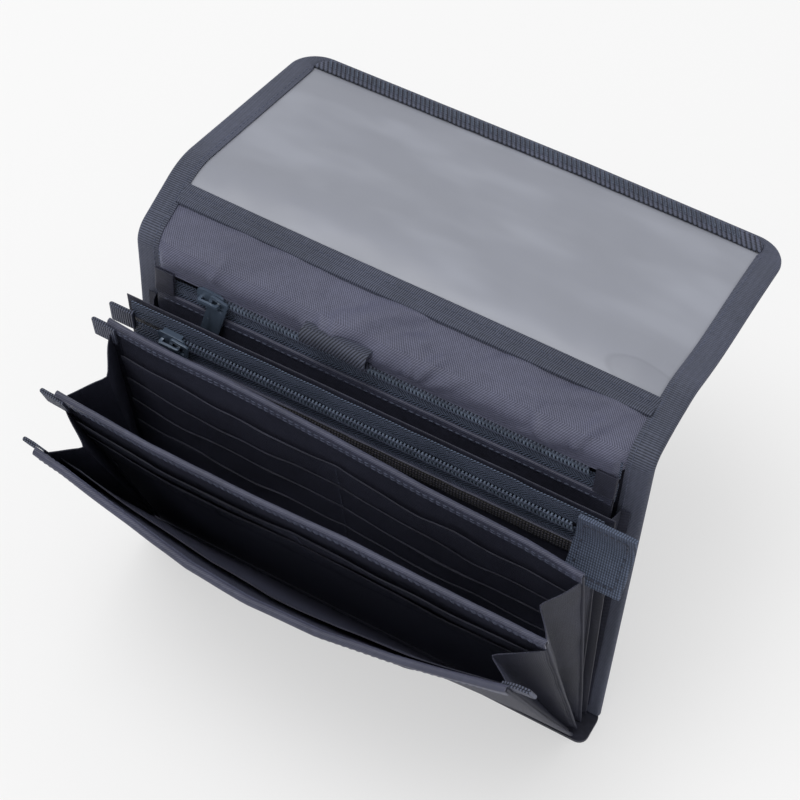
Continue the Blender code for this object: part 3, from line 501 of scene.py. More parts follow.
class Board:
    """A node tree that is written from left to right."""

    def __init__(self, tree):
        self.tree = tree

    def node(self, kind, **values):
        made = self.tree.nodes.new(kind)
        for key, value in values.items():
            setattr(made, key, value)
        return made

    def put(self, node, name, value):
        socket = node.inputs[name]
        if isinstance(value, bpy.types.NodeSocket):
            self.tree.links.new(value, socket)
        else:
            socket.default_value = value

    def fill(self, node, values):
        for name, value in values.items():
            self.put(node, name, value)
        return node.outputs

    def math(self, operation, one, two=0.0):
        return self.fill(self.node("ShaderNodeMath", operation=operation), {0: one, 1: two})[0]

    def plus(self, one, two):
        return self.math("ADD", one, two)

    def less(self, one, two):
        return self.math("SUBTRACT", one, two)

    def times(self, one, two):
        return self.math("MULTIPLY", one, two)

    def over(self, one, two):
        return self.math("DIVIDE", one, two)

    def mix(self, factor, one, two):
        return self.fill(self.node("ShaderNodeMix", data_type="RGBA"), {0: factor, 6: one, 7: two})[2]

    def ramp(self, value, low, high):
        """0 at low to 1 at high."""
        made = self.node("ShaderNodeMapRange", interpolation_type="SMOOTHSTEP")
        return self.fill(made, {"Value": value, "From Min": low, "From Max": high})[0]

    def noise(self, vector, scale, detail=2.0, roughness=0.5):
        return self.fill(self.node("ShaderNodeTexNoise"),
                         {"Vector": vector, "Scale": scale, "Detail": detail, "Roughness": roughness})[0]

    def stretched(self, vector, scale):
        return self.fill(self.node("ShaderNodeVectorMath", operation="MULTIPLY"), {0: vector, 1: scale})[0]

    def parts(self, vector):
        return self.fill(self.node("ShaderNodeSeparateXYZ"), {0: vector})

    def place(self):
        """The point of the piece, in metres."""
        return self.node("ShaderNodeTexCoord").outputs["Object"]

    def along(self):
        """The piece's own UV map, in metres along its cloth."""
        return self.node("ShaderNodeUVMap", uv_map="UVMap").outputs[0]

    def bump(self, height, distance, strength=1.0):
        return self.fill(self.node("ShaderNodeBump"),
                         {"Height": height, "Distance": distance, "Strength": strength})[0]

    def placed(self, name, values):
        """One of the shared groups, with its own values."""
        return self.fill(self.node("ShaderNodeGroup", node_tree=bpy.data.node_groups[name]), values)


def group(name, inputs, outputs, build):
    """A shader node group, built once."""
    tree = bpy.data.node_groups.new(name, "ShaderNodeTree")
    for title, kind, default in inputs:
        socket = tree.interface.new_socket(name=title, in_out="INPUT", socket_type=kind)
        if default is not None:
            socket.default_value = default
    for title, kind in outputs:
        tree.interface.new_socket(name=title, in_out="OUTPUT", socket_type=kind)
    board = Board(tree)
    way_in, way_out = board.node("NodeGroupInput"), board.node("NodeGroupOutput")
    board.fill(way_out, build(board, way_in.outputs))


def threads(board, sockets):
    """Woven threads: lines across the piece, slanted if asked, in chevrons if asked, broken by the other
    set of threads."""
    x, up, _ = board.parts(sockets["Vector"])

    def wave(place, pitch):
        return board.math("SINE", board.times(board.over(place, pitch), 2 * math.pi))

    side = board.less(board.times(board.math("GREATER_THAN", wave(up, sockets["Chevron"]), 0.0), 2.0), 1.0)
    slant = board.times(board.times(up, sockets["Slant"]), side)
    line = wave(board.plus(x, slant), sockets["Pitch"])
    cross = wave(up, sockets["Cross pitch"])
    uneven = board.noise(sockets["Vector"], 700.0, 1.0)
    height = board.math("POWER", board.plus(board.times(line, 0.5), 0.5), 0.6)
    broken = board.times(board.plus(board.times(cross, 0.5), 0.5), sockets["Cross share"])
    height = board.plus(board.less(height, broken), board.times(board.less(uneven, 0.5), 0.3))
    # Tone follows how high the threads stand; it sets the painted shade between them.
    return {"Height": height, "Tone": board.ramp(height, 0.05, 0.85)}


def mottle(board, sockets):
    """Slow and fine changes of a cloth's colour."""
    slow = board.noise(sockets["Vector"], 26.0, 3.0)
    fine = board.noise(sockets["Vector"], 520.0, 2.0, 0.7)
    shade = board.ramp(board.plus(board.times(slow, 0.6), board.times(fine, 0.4)), 0.30, 0.72)
    dark = board.mix(0.35, sockets["Colour"], BLACK)
    light = board.mix(0.06, sockets["Colour"], (0.36, 0.38, 0.62, 1))
    return {"Colour": board.mix(shade, board.mix(sockets["Amount"], sockets["Colour"], dark), light)}


def scaled(colour, share):
    """A colour made darker or lighter."""
    return tuple(share * part for part in colour)


def new_material(name):
    """A new material of the pouch: its board and its shader."""
    made = bpy.data.materials.new(f"pouch_{name}")
    made.use_nodes = True
    return Board(made.node_tree), made.node_tree.nodes["Principled BSDF"]


def cloth_material(name, colour, roughness, pitch, *, depth, slant=0.0, chevron=1000.0, cross=0.001,
                   cross_share=0.25, sheen=0.25, amount=0.5, contrast=0.55, fuzz=0.0, gloss=0.35):
    """Woven cloth: threads in relief, with painted shade between them, mottled, with a soft sheen."""
    board, shader = new_material(name)
    place = board.place()
    weave = board.placed("woven_threads", {"Vector": board.along(), "Pitch": pitch, "Slant": slant,
                                           "Chevron": chevron, "Cross pitch": cross,
                                           "Cross share": cross_share})
    tint = board.placed("cloth_mottle", {"Vector": place, "Colour": (*colour, 1), "Amount": amount})
    # Painted shade: the colour goes darker between the threads, as far as contrast asks.
    between = board.mix(contrast, tint["Colour"], BLACK)
    height = weave["Height"]
    if fuzz:
        hairs = board.noise(board.stretched(place, (1, 1, 0.6)), 1500.0, 3.0, 0.8)
        height = board.plus(height, board.times(hairs, fuzz))
    board.fill(shader, {
        "Base Color": board.mix(weave["Tone"], between, tint["Colour"]),
        "Normal": board.bump(height, depth, 0.8),
        "Roughness": roughness,
        "Sheen Weight": sheen,
        "Sheen Roughness": 0.4,
        "Sheen Tint": (0.62, 0.66, 1.0, 1.0),
        "Specular IOR Level": gloss,
    })


def metal_material(name, colour):
    """Painted metal: glossy, faintly uneven, lighter on worn spots."""
    board, shader = new_material(name)
    place = board.place()
    worn = board.ramp(board.noise(place, 310.0, 4.0, 0.65), 0.60, 0.78)
    board.fill(shader, {
        "Base Color": board.mix(board.times(worn, 0.35), (*colour, 1), (0.24, 0.28, 0.34, 1)),
        "Roughness": board.plus(board.times(worn, 0.2), 0.22),
        "Metallic": 0.25,
        "Coat Weight": 0.5,
        "Coat Roughness": 0.12,
        "Normal": board.bump(board.noise(place, 900.0), 0.00003),
    })


def coil_material(name, colour):
    """Nylon filament: smooth, with a soft gloss."""
    board, shader = new_material(name)
    place = board.place()
    uneven = board.ramp(board.noise(place, 160.0), 0.3, 0.7)
    board.fill(shader, {
        "Base Color": board.mix(uneven, (*colour, 1), (*scaled(colour, 1.5), 1)),
        "Roughness": board.plus(board.times(uneven, 0.12), 0.34),
        "Normal": board.bump(board.noise(place, 2400.0, 1.0), 0.00002),
    })


def vinyl_material(name, colour):
    """Frosted vinyl over cloth, its pale grey partly painted reflection: lighter towards one side by painted
    reflection, with soft bands where it lifts that are lighter, partly painted reflection, and a patch that
    clings.
    """
    board, shader = new_material(name)
    uv = board.along()
    x, up, _ = board.parts(uv)
    # Where the vinyl lifts it bumps and lets less cloth through; its lighter colour there is partly painted
    # reflection.
    lift = board.noise(board.stretched(uv, (0.35, 1, 1)), 42.0)
    bands = board.ramp(lift, 0.42, 0.68)
    # Painted reflection: the window grows lighter towards one side.
    painted_reflection_side = board.ramp(board.less(board.times(x, 0.7), up), -0.15, 0.06)
    patch_x, patch_up, patch_half_width, patch_half_height = 0.0872, 0.0275, 0.0150, 0.0062
    across = board.over(board.less(x, patch_x), patch_half_width)
    upward = board.over(board.less(up, patch_up), patch_half_height)
    ring = board.math("SQRT", board.plus(board.times(across, across), board.times(upward, upward)))
    ring = board.plus(ring, board.times(board.less(lift, 0.5), 0.5))
    cling = board.less(1.0, board.ramp(ring, 0.80, 1.02))
    rim = board.times(board.ramp(ring, 0.72, 0.98), cling)
    tone = (*colour, 1)
    # Painted reflection lightens one side and, in part, the lifted bands; the clinging patch and its rim turn
    # darker.
    for where, share, change in ((painted_reflection_side, 0.12, 1.35), (bands, 0.22, 1.5), (cling, 0.13, 0.45),
                                 (rim, 0.30, 0.55)):
        tone = board.mix(board.times(where, share), tone, (*scaled(colour, change), 1))
    grain = board.noise(uv, 1100.0)
    board.fill(shader, {
        "Base Color": tone,
        "Roughness": board.plus(board.times(grain, 0.12), 0.36),
        "Alpha": board.plus(0.86, board.times(bands, 0.06)),
        "Specular IOR Level": 0.45,
        "Normal": board.bump(board.plus(lift, board.times(grain, 0.02)), 0.0012, 0.5),
    })
    finish(name).surface_render_method = "DITHERED"


def floor_material(name, colour):
    """A plain pale floor. The camera and reflections see it half lit by itself, so it stays white."""
    board, shader = new_material(name)
    tone = board.ramp(board.noise(board.place(), 3.0, 1.0), 0.0, 1.0)
    board.fill(shader, {
        "Base Color": board.mix(board.times(tone, 0.02), (*colour, 1), (0.8, 0.8, 0.8, 1)),
        "Roughness": 0.85,
        "Specular IOR Level": 0.15,
    })
    path = board.node("ShaderNodeLightPath").outputs
    seen = board.math("MAXIMUM", path["Is Glossy Ray"], path["Is Transmission Ray"])
    seen = board.math("MAXIMUM", path["Is Camera Ray"], seen)
    glow = board.fill(board.node("ShaderNodeEmission"), {"Color": (0.93, 0.93, 0.93, 1)})
    blend = board.fill(board.node("ShaderNodeMixShader"),
                       {0: board.times(seen, FLOOR_GLOW), 1: shader.outputs[0], 2: glow[0]})
    board.put(board.tree.nodes["Material Output"], "Surface", blend[0])


# ---------------------------------------------------------------- what a user would change

def length_property(title, words, value, low, high):
    return FloatProperty(name=title, description=words, default=value, min=low, max=high, unit="LENGTH")


def colour_property(title, words, value):
    return FloatVectorProperty(name=title, description=words, default=value, size=3, min=0.0, max=1.0,
                               subtype="COLOR")


class PouchSizes(PropertyGroup):
    """Sizes of the pouch's soft pieces."""

    tape_width: length_property("Edge tape width", "How far the edge tape reaches in from an edge",
                                0.010, 0.004, 0.02)
    cloth: length_property("Cloth thickness", "Thickness of the slots, gussets and lining",
                           0.0004, 0.0002, 0.001)
    coil_pitch: length_property("Coil pitch", "Distance from one turn of a zip's coil to the next",
                                0.00145, 0.0008, 0.003)
    stitch_pitch: length_property("Stitch pitch", "Distance from one stitch to the next",
                                  0.0027, 0.001, 0.006)
    hem: length_property("Hem height", "Height of the folded hem along a leaf's top",
                         0.0042, 0.002, 0.01)


class PouchColours(PropertyGroup):
    """Colours of the pouch's finishes."""

    cloth: colour_property("Cloth", "Navy cloth of the leaves", (0.020, 0.021, 0.033))
    # Lighter than the cloth: painted highlight on the lit tops of the leaves.
    hem: colour_property("Hem", "Smoother cloth of the folded hems", (0.058, 0.062, 0.096))
    lining: colour_property("Lining", "Twill that lines the flap", (0.112, 0.117, 0.176))
    tape: colour_property("Tape", "Zip tape and webbing", (0.085, 0.112, 0.172))
    edge: colour_property("Edge tape", "Ribbed tape round the edges", (0.078, 0.089, 0.128))
    coil: colour_property("Coil", "Nylon of the zip coils", (0.100, 0.126, 0.175))
    metal: colour_property("Metal", "Painted sliders and pulls", (0.080, 0.108, 0.155))
    # Pale grey, partly the frosted vinyl and partly painted reflection of the white surroundings.
    vinyl: colour_property("Vinyl", "Frosted window on the flap", (0.285, 0.298, 0.345))
    mesh: colour_property("Mesh", "Brown mesh below the centre zip", (0.095, 0.088, 0.086))
    thread: colour_property("Thread", "Sewing thread", (0.085, 0.100, 0.150))
    floor: colour_property("Floor", "The floor under the pouch", (0.90, 0.90, 0.90))


def sizes():
    return bpy.context.scene.pouch_sizes


def colours():
    return bpy.context.scene.pouch_colours


# ---------------------------------------------------------------- shared cloth forms

def roll_section(height, half_depth):
    """Centre line of a hem folded over an edge, as places up and ahead: up one side, over, down the other."""
    angles = np.linspace(math.pi, 0, 9)
    arc = np.stack([half_depth * np.sin(angles) * 0.9, half_depth * np.cos(angles)], -1)
    first = np.array([[-height, arc[0, 1]], [-height * 0.6, arc[0, 1]], [-height * 0.25, arc[0, 1]]])
    last = first[::-1] * (1, -1)
    return np.concatenate([first, arc, last])


def hem(name, leaf, x_range, top, half_depth, height, ahead=0.0):
    """The folded hem along the top of a sheet."""
    line = roll_section(height, half_depth)
    stations, sections = [], []
    for x in np.linspace(*x_range, 70):
        depth = ahead + 0.00012 * noise.noise(Vector((x * 90, top * 50, 0.3)))
        origin = leaf.at(x, top, depth)
        up_way = leaf.at(x, top + 0.001, depth) - origin
        ahead_way = leaf.at(x, top, depth + 0.001) - origin
        stations.append((origin, unit(up_way), unit(ahead_way), x))
        sections.append(line + (0.00025 * noise.noise(Vector((x * 60, 4.1, top * 9))), 0))
    return band(name, stations, sections, TAPE)


def ribbon_loop(name, leaf, side, inner_x, outer_x, up_range, ahead, gap, thickness, sag=0.0, lean=None):
    """A ribbon folded back on itself past a leaf's side: out along one layer, round, and back."""
    run, half = outer_x - inner_x, gap / 2
    bend = np.linspace(-math.pi / 2, math.pi / 2, 7)[1:-1]
    out = [(inner_x + run * s, half * (1 if s > 0.1 else 0.8)) for s in np.linspace(0, 1, 9)]
    turn = [(outer_x + half * math.cos(a), -half * math.sin(a)) for a in bend]
    back = [(x, -depth) for x, depth in reversed(out)]
    line = np.array(out + turn + back)
    out_way, lengths = beside(line, thickness), run_lengths(line)
    near, far, uv = [], [], []
    for up in np.linspace(*up_range, 8):
        for rows, sign in ((near, 1), (far, -1)):
            flat = line + sign * out_way
            reach = np.clip((flat[:, 0] - inner_x) / run, 0, 1)
            depth = ahead + flat[:, 1] - 0.6 * sag * reach ** 2 + (lean(up) if lean else 0.0)
            rows.append(leaf.at(side * flat[:, 0], up - sag * reach ** 2, depth))
        uv.append(np.stack([lengths, np.full(len(line), up)], -1))
    return shell(name, np.array(near), np.array(far), np.array(uv))


# One turn of a zip's coil: in pitches along the zip, and in millimetres up and ahead of the tape
COIL_TURN = ((-0.16, -0.55, 0.95), (-0.05, 0.20, 1.38), (0.05, 0.90, 1.55), (0.14, 1.60, 1.42),
             (0.24, 2.15, 1.12), (0.32, 2.36, 0.92))
COIL_FILAMENT = 0.00042


def coil(name, leaf, start, end, up, ahead, pitch):
    """A closed zip coil: turns from both tapes that meet in the middle, and the threads that hold them."""
    count = int((end - start) / pitch)
    pitch = (end - start) / count
    path = np.array(COIL_TURN)
    path = np.stack([path[:, 0] * pitch, path[:, 1] / 1000, ahead + path[:, 2] / 1000], -1)
    turn = tube_form(path, COIL_FILAMENT, 6)
    mirrored = (turn[0] * (1, -1, 1), turn[1])
    upper = [(start + (i + 0.25) * pitch, up, 0, 0) for i in range(count)]
    lower = [(start + (i + 0.75) * pitch, up, 0, 0) for i in range(count)]
    spots = [(start + (i + 0.5) * pitch, up + side * 0.00165, ahead + 0.00170, side * 0.5)
             for i in range(count) for side in (-1, 1)]
    first, second = scattered(name, leaf, turn, upper), scattered(f"{name}_lower", leaf, mirrored, lower)
    dress(first, "zip_coil")
    second.data.materials.append(finish("zip_coil"))
    made = joined(name, first, second)
    held = stitches(f"{name}_thread", leaf, spots, stitch_form(pitch * 1.3, 0.00022))
    return made, held


def slot_strip(name, leaf, node, ahead_extra, sag, seed):
    """A strip of card slots in two columns. Its top edge is loose between the seams, so it dips and waves."""
    low, high = leaf.extent(node)
    half = high[0]
    base, top = low[1], high[1]
    thickness = sizes().cloth
    depth_low, depth_high = low[2] + thickness / 2, high[2] - thickness / 2

    def column(x):
        return 1 - np.abs(2 * np.abs(x) / half - 1) ** 2.2

    def ahead(x, up):
        share = (up - base) / (top - base)
        loose = (0.0004 if leaf is BACK else 0.0009) * column(x) * np.clip(share, 0, 1) ** 2
        return depth_low + (depth_high - depth_low) * share + loose + ahead_extra + swell(leaf, up)

    def face(x, up):
        return ahead(x, up) + thickness / 2 + 0.0001

    def dip(x):
        return -sag * column(x) * (0.8 + 0.6 * np.sin(x * 47 + seed * 2.1)) \
            + 0.0005 * np.sin(x * 160 + seed * 1.3) + ripple(x, 0 * x, 0.0022, 0.016, seed * 3.3) * column(x)

    strip = sheet(name, leaf, (-half, half), (base, top), thickness, ahead, (70, 9),
                  wave=lambda x, up: ripple(x, up, 0.0004, 0.02, seed), top=dip)
    edge_x = np.linspace(-half + 0.001, half - 0.001, 90)
    path = [(x, top + float(dip(x)), float(ahead(np.array(x), np.array(top)))) for x in edge_x]
    rim = leaf_cord(f"{name}_edge", leaf, path, 0.00028)
    spots = stitch_line(0, base + 0.001, 0, top - 0.0012, face, SEAM_PITCH)
    form = stitch_form(0.0021, SEAM_THREAD)
    seam = stitches(f"{name}_seam", leaf, spots, form, "dark_thread")
    dress(strip, "navy_cloth")
    dress(rim, "navy_cloth")
    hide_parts(node)
    for thing in (strip, rim, seam):
        carry(thing, leaf)


def leaf_cord(name, leaf, path, radius):
    """A thin rolled edge along a path given as x, up and ahead on a leaf."""
    sides = 6
    places = leaf.at(*np.array(path).T)
    vertices, faces = tube_form(places, radius, sides)
    lengths, uvs = run_lengths(places), []
    for face in faces:
        for corner in face:
            uvs.append((lengths[corner // sides], radius * (corner % sides)))
    return piece(name, vertices, faces, uvs, 60)


def copied_part(name, node, bevel):
    """A copy of a rigid CAD node, merged and with its edges eased."""
    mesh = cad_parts[node].data.copy()
    thing = bpy.data.objects.new(name, mesh)
    bpy.context.scene.collection.objects.link(thing)
    work = bmesh.new()
    work.from_mesh(mesh)
    bmesh.ops.remove_doubles(work, verts=work.verts, dist=0.00001)
    bmesh.ops.dissolve_limit(work, angle_limit=math.radians(1), verts=work.verts, edges=work.edges)
    work.to_mesh(mesh)
    work.free()
    easing = thing.modifiers.new("Eased edges", "BEVEL")
    easing.width = bevel
    easing.segments = 3
    easing.limit_method = "ANGLE"
    easing.angle_limit = math.radians(35)
    easing.use_clamp_overlap = True
    select(thing)
    bpy.ops.object.modifier_apply(modifier=easing.name)
    bpy.ops.object.shade_smooth_by_angle(angle=math.radians(35))
    bpy.ops.object.select_all(action="DESELECT")
    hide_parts(node)
    return thing


# ---------------------------------------------------------------- pieces

class PouchOperator(Operator):
    """What every operator of this pouch shares."""

    bl_options = {"REGISTER", "UNDO"}

    @classmethod
    def poll(cls, context):
        return context.mode == "OBJECT"


class POUCH_OT_finishes(PouchOperator):
    """Make the materials of cloth, tape, coil, metal and vinyl"""

    bl_idname = "pouch.finishes"
    bl_label = "Finishes"

    def execute(self, context):
        tint = colours()
        group("woven_threads",
              (("Vector", "NodeSocketVector", None), ("Pitch", "NodeSocketFloat", 0.001),
               ("Slant", "NodeSocketFloat", 0.0), ("Chevron", "NodeSocketFloat", 1000.0),
               ("Cross pitch", "NodeSocketFloat", 0.001), ("Cross share", "NodeSocketFloat", 0.3)),
              (("Height", "NodeSocketFloat"), ("Tone", "NodeSocketFloat")), threads)
        group("cloth_mottle",
              (("Vector", "NodeSocketVector", None), ("Colour", "NodeSocketColor", (0, 0, 0, 1)),
               ("Amount", "NodeSocketFloat", 0.5)), (("Colour", "NodeSocketColor"),), mottle)
        cloth_material("navy_cloth", tint.cloth, 0.5, 0.00085, slant=1.0, cross=0.0006, sheen=0.08,
                       contrast=0.35, depth=0.00012)
        # The hems' lighter colour is painted highlight on the leaves' lit tops.
        cloth_material("hem_cloth_painted_highlight", tint.hem, 0.42, 0.00090, slant=0.8, cross=0.00075, cross_share=0.3,
                       sheen=0.14, contrast=0.3, depth=0.00012)
        cloth_material("gusset_weave", scaled(tint.hem, 0.45), 0.52, 0.00090, slant=0.8, cross=0.00075,
                       cross_share=0.3, sheen=0.04, contrast=0.3, depth=0.00012, gloss=0.14)
        cloth_material("board_cloth", tint.cloth, 0.55, 0.00090, slant=0.8, cross=0.00075, cross_share=0.3,
                       sheen=0.08, contrast=0.35, depth=0.00012, gloss=0.22)
        cloth_material("lining_twill", tint.lining, 0.5, 0.00095, slant=0.9, cross=0.0007, cross_share=0.35,
                       depth=0.00018, sheen=0.25, contrast=0.45, amount=0.35)
        cloth_material("edge_tape", tint.edge, 0.62, 0.00080, cross=0.0022, cross_share=0.18, depth=0.0003,
                       contrast=0.60, sheen=0.15)
        cloth_material("ribbon", tint.edge, 0.6, 0.00105, cross=0.0010, cross_share=0.12, depth=0.0004,
                       contrast=0.85, sheen=0.15)
        cloth_material("mouth_webbing", tint.edge, 0.6, 0.00082, slant=0.25, cross=0.0021, cross_share=0.2,
                       depth=0.0003, contrast=0.68, sheen=0.15)
        cloth_material("loop_elastic", scaled(tint.edge, 0.82), 0.6, 0.00125, slant=0.55, cross=0.0010,
                       cross_share=0.12, depth=0.0004, contrast=0.8, sheen=0.12)
        cloth_material("tab_webbing", tint.tape, 0.62, 0.00090, slant=0.12, cross=0.00085, cross_share=0.55,
                       depth=0.0003, contrast=0.6, sheen=0.15)
        cloth_material("zip_tape", tint.tape, 0.62, 0.00130, slant=1.0, chevron=0.0050, cross=0.0009,
                       cross_share=0.05, depth=0.0005, contrast=0.92, sheen=0.10)
        cloth_material("brown_mesh", tint.mesh, 0.8, 0.0012, cross=0.0012, cross_share=0.9, depth=0.0005,
                       contrast=0.9, sheen=0.1)
        cloth_material("hook_tape", tint.edge, 0.7, 0.0020, slant=0.55, cross=0.0013, cross_share=0.2,
                       fuzz=0.7, depth=0.0005, sheen=0.3, contrast=0.85)
        cloth_material("loop_pile", tint.edge, 0.85, 0.0009, cross=0.0009, cross_share=0.5, fuzz=2.2,
                       depth=0.0006, sheen=0.5)
        cloth_material("thread", tint.thread, 0.5, 0.0004, slant=1.0, cross_share=0.0, depth=0.00008)
        cloth_material("dark_thread", scaled(tint.thread, 0.3), 0.5, 0.0004, slant=1.0, cross_share=0.0,
                       depth=0.00008)
        metal_material("zip_metal", tint.metal)
        coil_material("zip_coil", tint.coil)
        vinyl_material("frosted_vinyl_painted_reflection", tint.vinyl)
        floor_material("pale_floor", tint.floor)
        return {"FINISHED"}


class POUCH_OT_back(PouchOperator):
    """Make the back's cloth-covered board and the base"""

    bl_idname = "pouch.back"
    bl_label = "Back and base"

    def execute(self, context):
        half, start = BODY_HALF - CLOTH_INSET, CLOTH_START["back"] - BACK_HEIGHT
        cover = sheet("back_cover", FLAP, (-half, half), (start, FOLD_LOW), COVER, 0.0, (70, 50),
                      wave=lambda x, up: ripple(x, up, 0.00025, 0.05, 2.0))
        dress(cover, "board_cloth")
        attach(cover, "back")
        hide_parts("back_panel")
        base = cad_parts["base_panel"]
        base.data.materials.clear()
        base.data.materials.append(finish("navy_cloth"))
        return {"FINISHED"}


# The lining's creases, most of them pulled by the pen loop: foot, angle in degrees, length and height
LINING_CREASES = (((-0.0175, -0.0080), 102, 0.024, 0.0022), ((-0.0190, -0.0080), 128, 0.030, 0.0026),
                  ((-0.0205, -0.0085), 155, 0.034, 0.0016), ((0.0125, -0.0080), 82, 0.022, 0.0020),
                  ((0.0145, -0.0080), 55, 0.030, 0.0026), ((0.0165, -0.0085), 28, 0.036, 0.0018),
                  ((0.0640, -0.0070), 120, 0.030, 0.0018), ((0.0760, -0.0070), 60, 0.028, 0.0018),
                  ((-0.0700, -0.0060), 75, 0.024, 0.0014))


def crease(x, up, start, angle, length, height):
    """A soft ridge of cloth that runs from a point and dies out."""
    cosine, sine = math.cos(math.radians(angle)), math.sin(math.radians(angle))
    along = (x - start[0]) * cosine + (up - start[1]) * sine
    across = (up - start[1]) * cosine - (x - start[0]) * sine
    share = np.clip(along / length, 0, 1)
    width = 0.0014 + 0.0028 * share
    return height * np.clip(along / 0.003, 0, 1) * (1 - share) * np.exp(-(across / width) ** 2)


def rounded_end(half, end, corner):
    """An outline that rounds the two upper corners of a sheet."""
    def outline(x, up):
        into = np.clip(up - (end - corner), 0, corner)
        drawn = corner - np.sqrt(np.maximum(corner ** 2 - into ** 2, 0))
        return x * (half - drawn) / half
    return outline


class POUCH_OT_flap(PouchOperator):
    """Make the flap's cloth and its twill lining"""

    bl_idname = "pouch.flap"
    bl_label = "Flap and lining"

    def execute(self, context):
        half, end = BODY_HALF - CLOTH_INSET, FLAP_END - CLOTH_INSET
        cloth = sheet("fold_cloth", FLAP, (-half, half), (FOLD_LOW, FOLD_HIGH), FLAP_CLOTH, 0.0, (70, 26))
        dress(cloth, "navy_cloth")
        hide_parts("back_fold", "spine_panel")
        bend_over(cloth, "back")

        lid = sheet("lid_cloth", FLAP, (-half, half), (FOLD_HIGH, end), FLAP_CLOTH, 0.0, (70, 64),
                    outline=rounded_end(half, end, LID_CORNER - CLOTH_INSET),
                    wave=lambda x, up: ripple(x, up, 0.0003, 0.035, 5.0))
        dress(lid, "navy_cloth")
        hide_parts("lid_fold", "lid_panel")
        bend_over(lid, "lid")
        self.line_the_fold()
        return {"FINISHED"}

    @staticmethod
    def line_the_fold():
        """The lining under the flap's fold. Its lower edge is free and narrower than the rest."""
        low, high, inner, lower_half = -0.0106, 0.0185, BODY_HALF - 0.0035, 0.0942
        free_depth, sewn_depth = 0.0040, 0.00105

        def pulled_in(x, up):
            share = np.clip((-0.0035 - up) / 0.0045, 0, 1)
            return x * (1 - share * (1 - lower_half / inner))

        def depth(x, up):
            share = np.clip((up + 0.0048) / 0.0080, 0, 1)
            share = share * share * (3 - 2 * share)
            pocket = free_depth + (sewn_depth - free_depth) * share
            at_side = np.clip((np.abs(x) - 0.0915) / 0.004, 0, 1)
            near_loop = np.exp(-((x + 0.002) / 0.03) ** 2)
            right = np.clip((x - 0.045) / 0.05, 0, 1)
            fade = np.clip((up - low) / 0.004, 0, 1) * np.clip((high - up) / 0.006, 0, 1)
            folds = ripple(x - up * 1.4, up * 0.8, 0.0042, 0.014, 8.0) * (0.3 + near_loop + 0.6 * right)
            for start, angle, length, height in LINING_CREASES:
                folds = folds + crease(x, up, start, angle, length, height)
            soft = fade * (0.0008 + np.maximum(folds + ripple(x, up, 0.0012, 0.035, 2.0), -0.0006))
            return (pocket + soft) * (1 - at_side) + 0.0011 * at_side

        lining = sheet("back_lining", FLAP, (-inner, inner), (low, high), sizes().cloth, depth, (220, 40),
                       outline=pulled_in)
        dress(lining, "lining_twill")
        bend_over(lining, "back")
        path = [(x, low + 0.0001, float(depth(np.array(x), np.array(low))))
                for x in np.linspace(-0.094, 0.094, 90)]
        rim = leaf_cord("lining_edge", FLAP, path, 0.00042)
        bend_over(dress(rim, "lining_twill"), "back")


def edge_section(width, ahead):
    """Centre line of edge tape folded over an edge, as places inward and ahead."""
    middle, half = (ahead - TAPE_BEHIND) / 2, (ahead + TAPE_BEHIND) / 2 - TAPE / 2
    angles = np.linspace(math.pi / 2, -math.pi / 2, 9)
    nose = np.stack([half * 0.75 * (1 - np.cos(angles)) + TAPE / 2, middle + half * np.sin(angles)], -1)
    reach = width - TAPE / 2
    runs = np.array([1.0, 0.82, 0.55, 0.3])
    first = np.stack([half * 0.75 + (reach - half * 0.75) * runs, np.full(4, middle + half)], -1)
    last = np.stack([first[::-1, 0], np.full(4, middle - half)], -1)
    first[0, 1] -= TAPE * 0.4
    return np.concatenate([first, nose, last])


def edge_stations(path):
    """Stations of a tape that goes along a path of x, up and the inward way in the flap's surface."""
    stations, distance, before = [], 0.0, None
    for x, up, way_x, way_up in path:
        origin = FLAP.at(x, up)
        inward = unit(FLAP.at(x + way_x * 0.001, up + way_up * 0.001) - origin)
        ahead = FLAP.at(x, up, 0.001) - origin
        ahead = unit(ahead - inward * (ahead @ inward))
        if before is not None:
            distance += float(np.linalg.norm(origin - before))
        before = origin
        stations.append((origin, inward, ahead, distance))
    return stations


def tape_ahead(up):
    """How far the edge tape's face stands ahead of the flap's middle."""
    return float(np.interp(up, (-0.02, 0.0, SPINE_LENGTH), (0.0016, 0.0020, 0.0024)))


def on_tape(x, up):
    """How far stitches on the edge tape stand ahead of the flap's middle."""
    return np.array([tape_ahead(u) + 0.00002 for u in np.atleast_1d(up)])


def lid_edge():
    """The lid's edge from left to right, as x, up and the inward way."""
    half, end, corner = BODY_HALF, FLAP_END, LID_CORNER
    path, turns = [], np.linspace(0, math.pi / 2, 15)
    for up in np.linspace(TAPE_SPLIT, end - corner, 60)[:-1]:
        path.append((-half, up, 1, 0))
    for turn in turns:
        path.append((corner * (1 - math.cos(turn)) - half, end - corner + corner * math.sin(turn),
                     math.cos(turn), -math.sin(turn)))
    for x in np.linspace(corner - half, half - corner, 60)[1:-1]:
        path.append((x, end, 0, -1))
    for turn in turns[::-1]:
        path.append((half - corner + corner * math.cos(turn), end - corner + corner * math.sin(turn),
                     -math.cos(turn), -math.sin(turn)))
    for up in np.linspace(end - corner, TAPE_SPLIT, 60)[1:]:
        path.append((half, up, -1, 0))
    return path


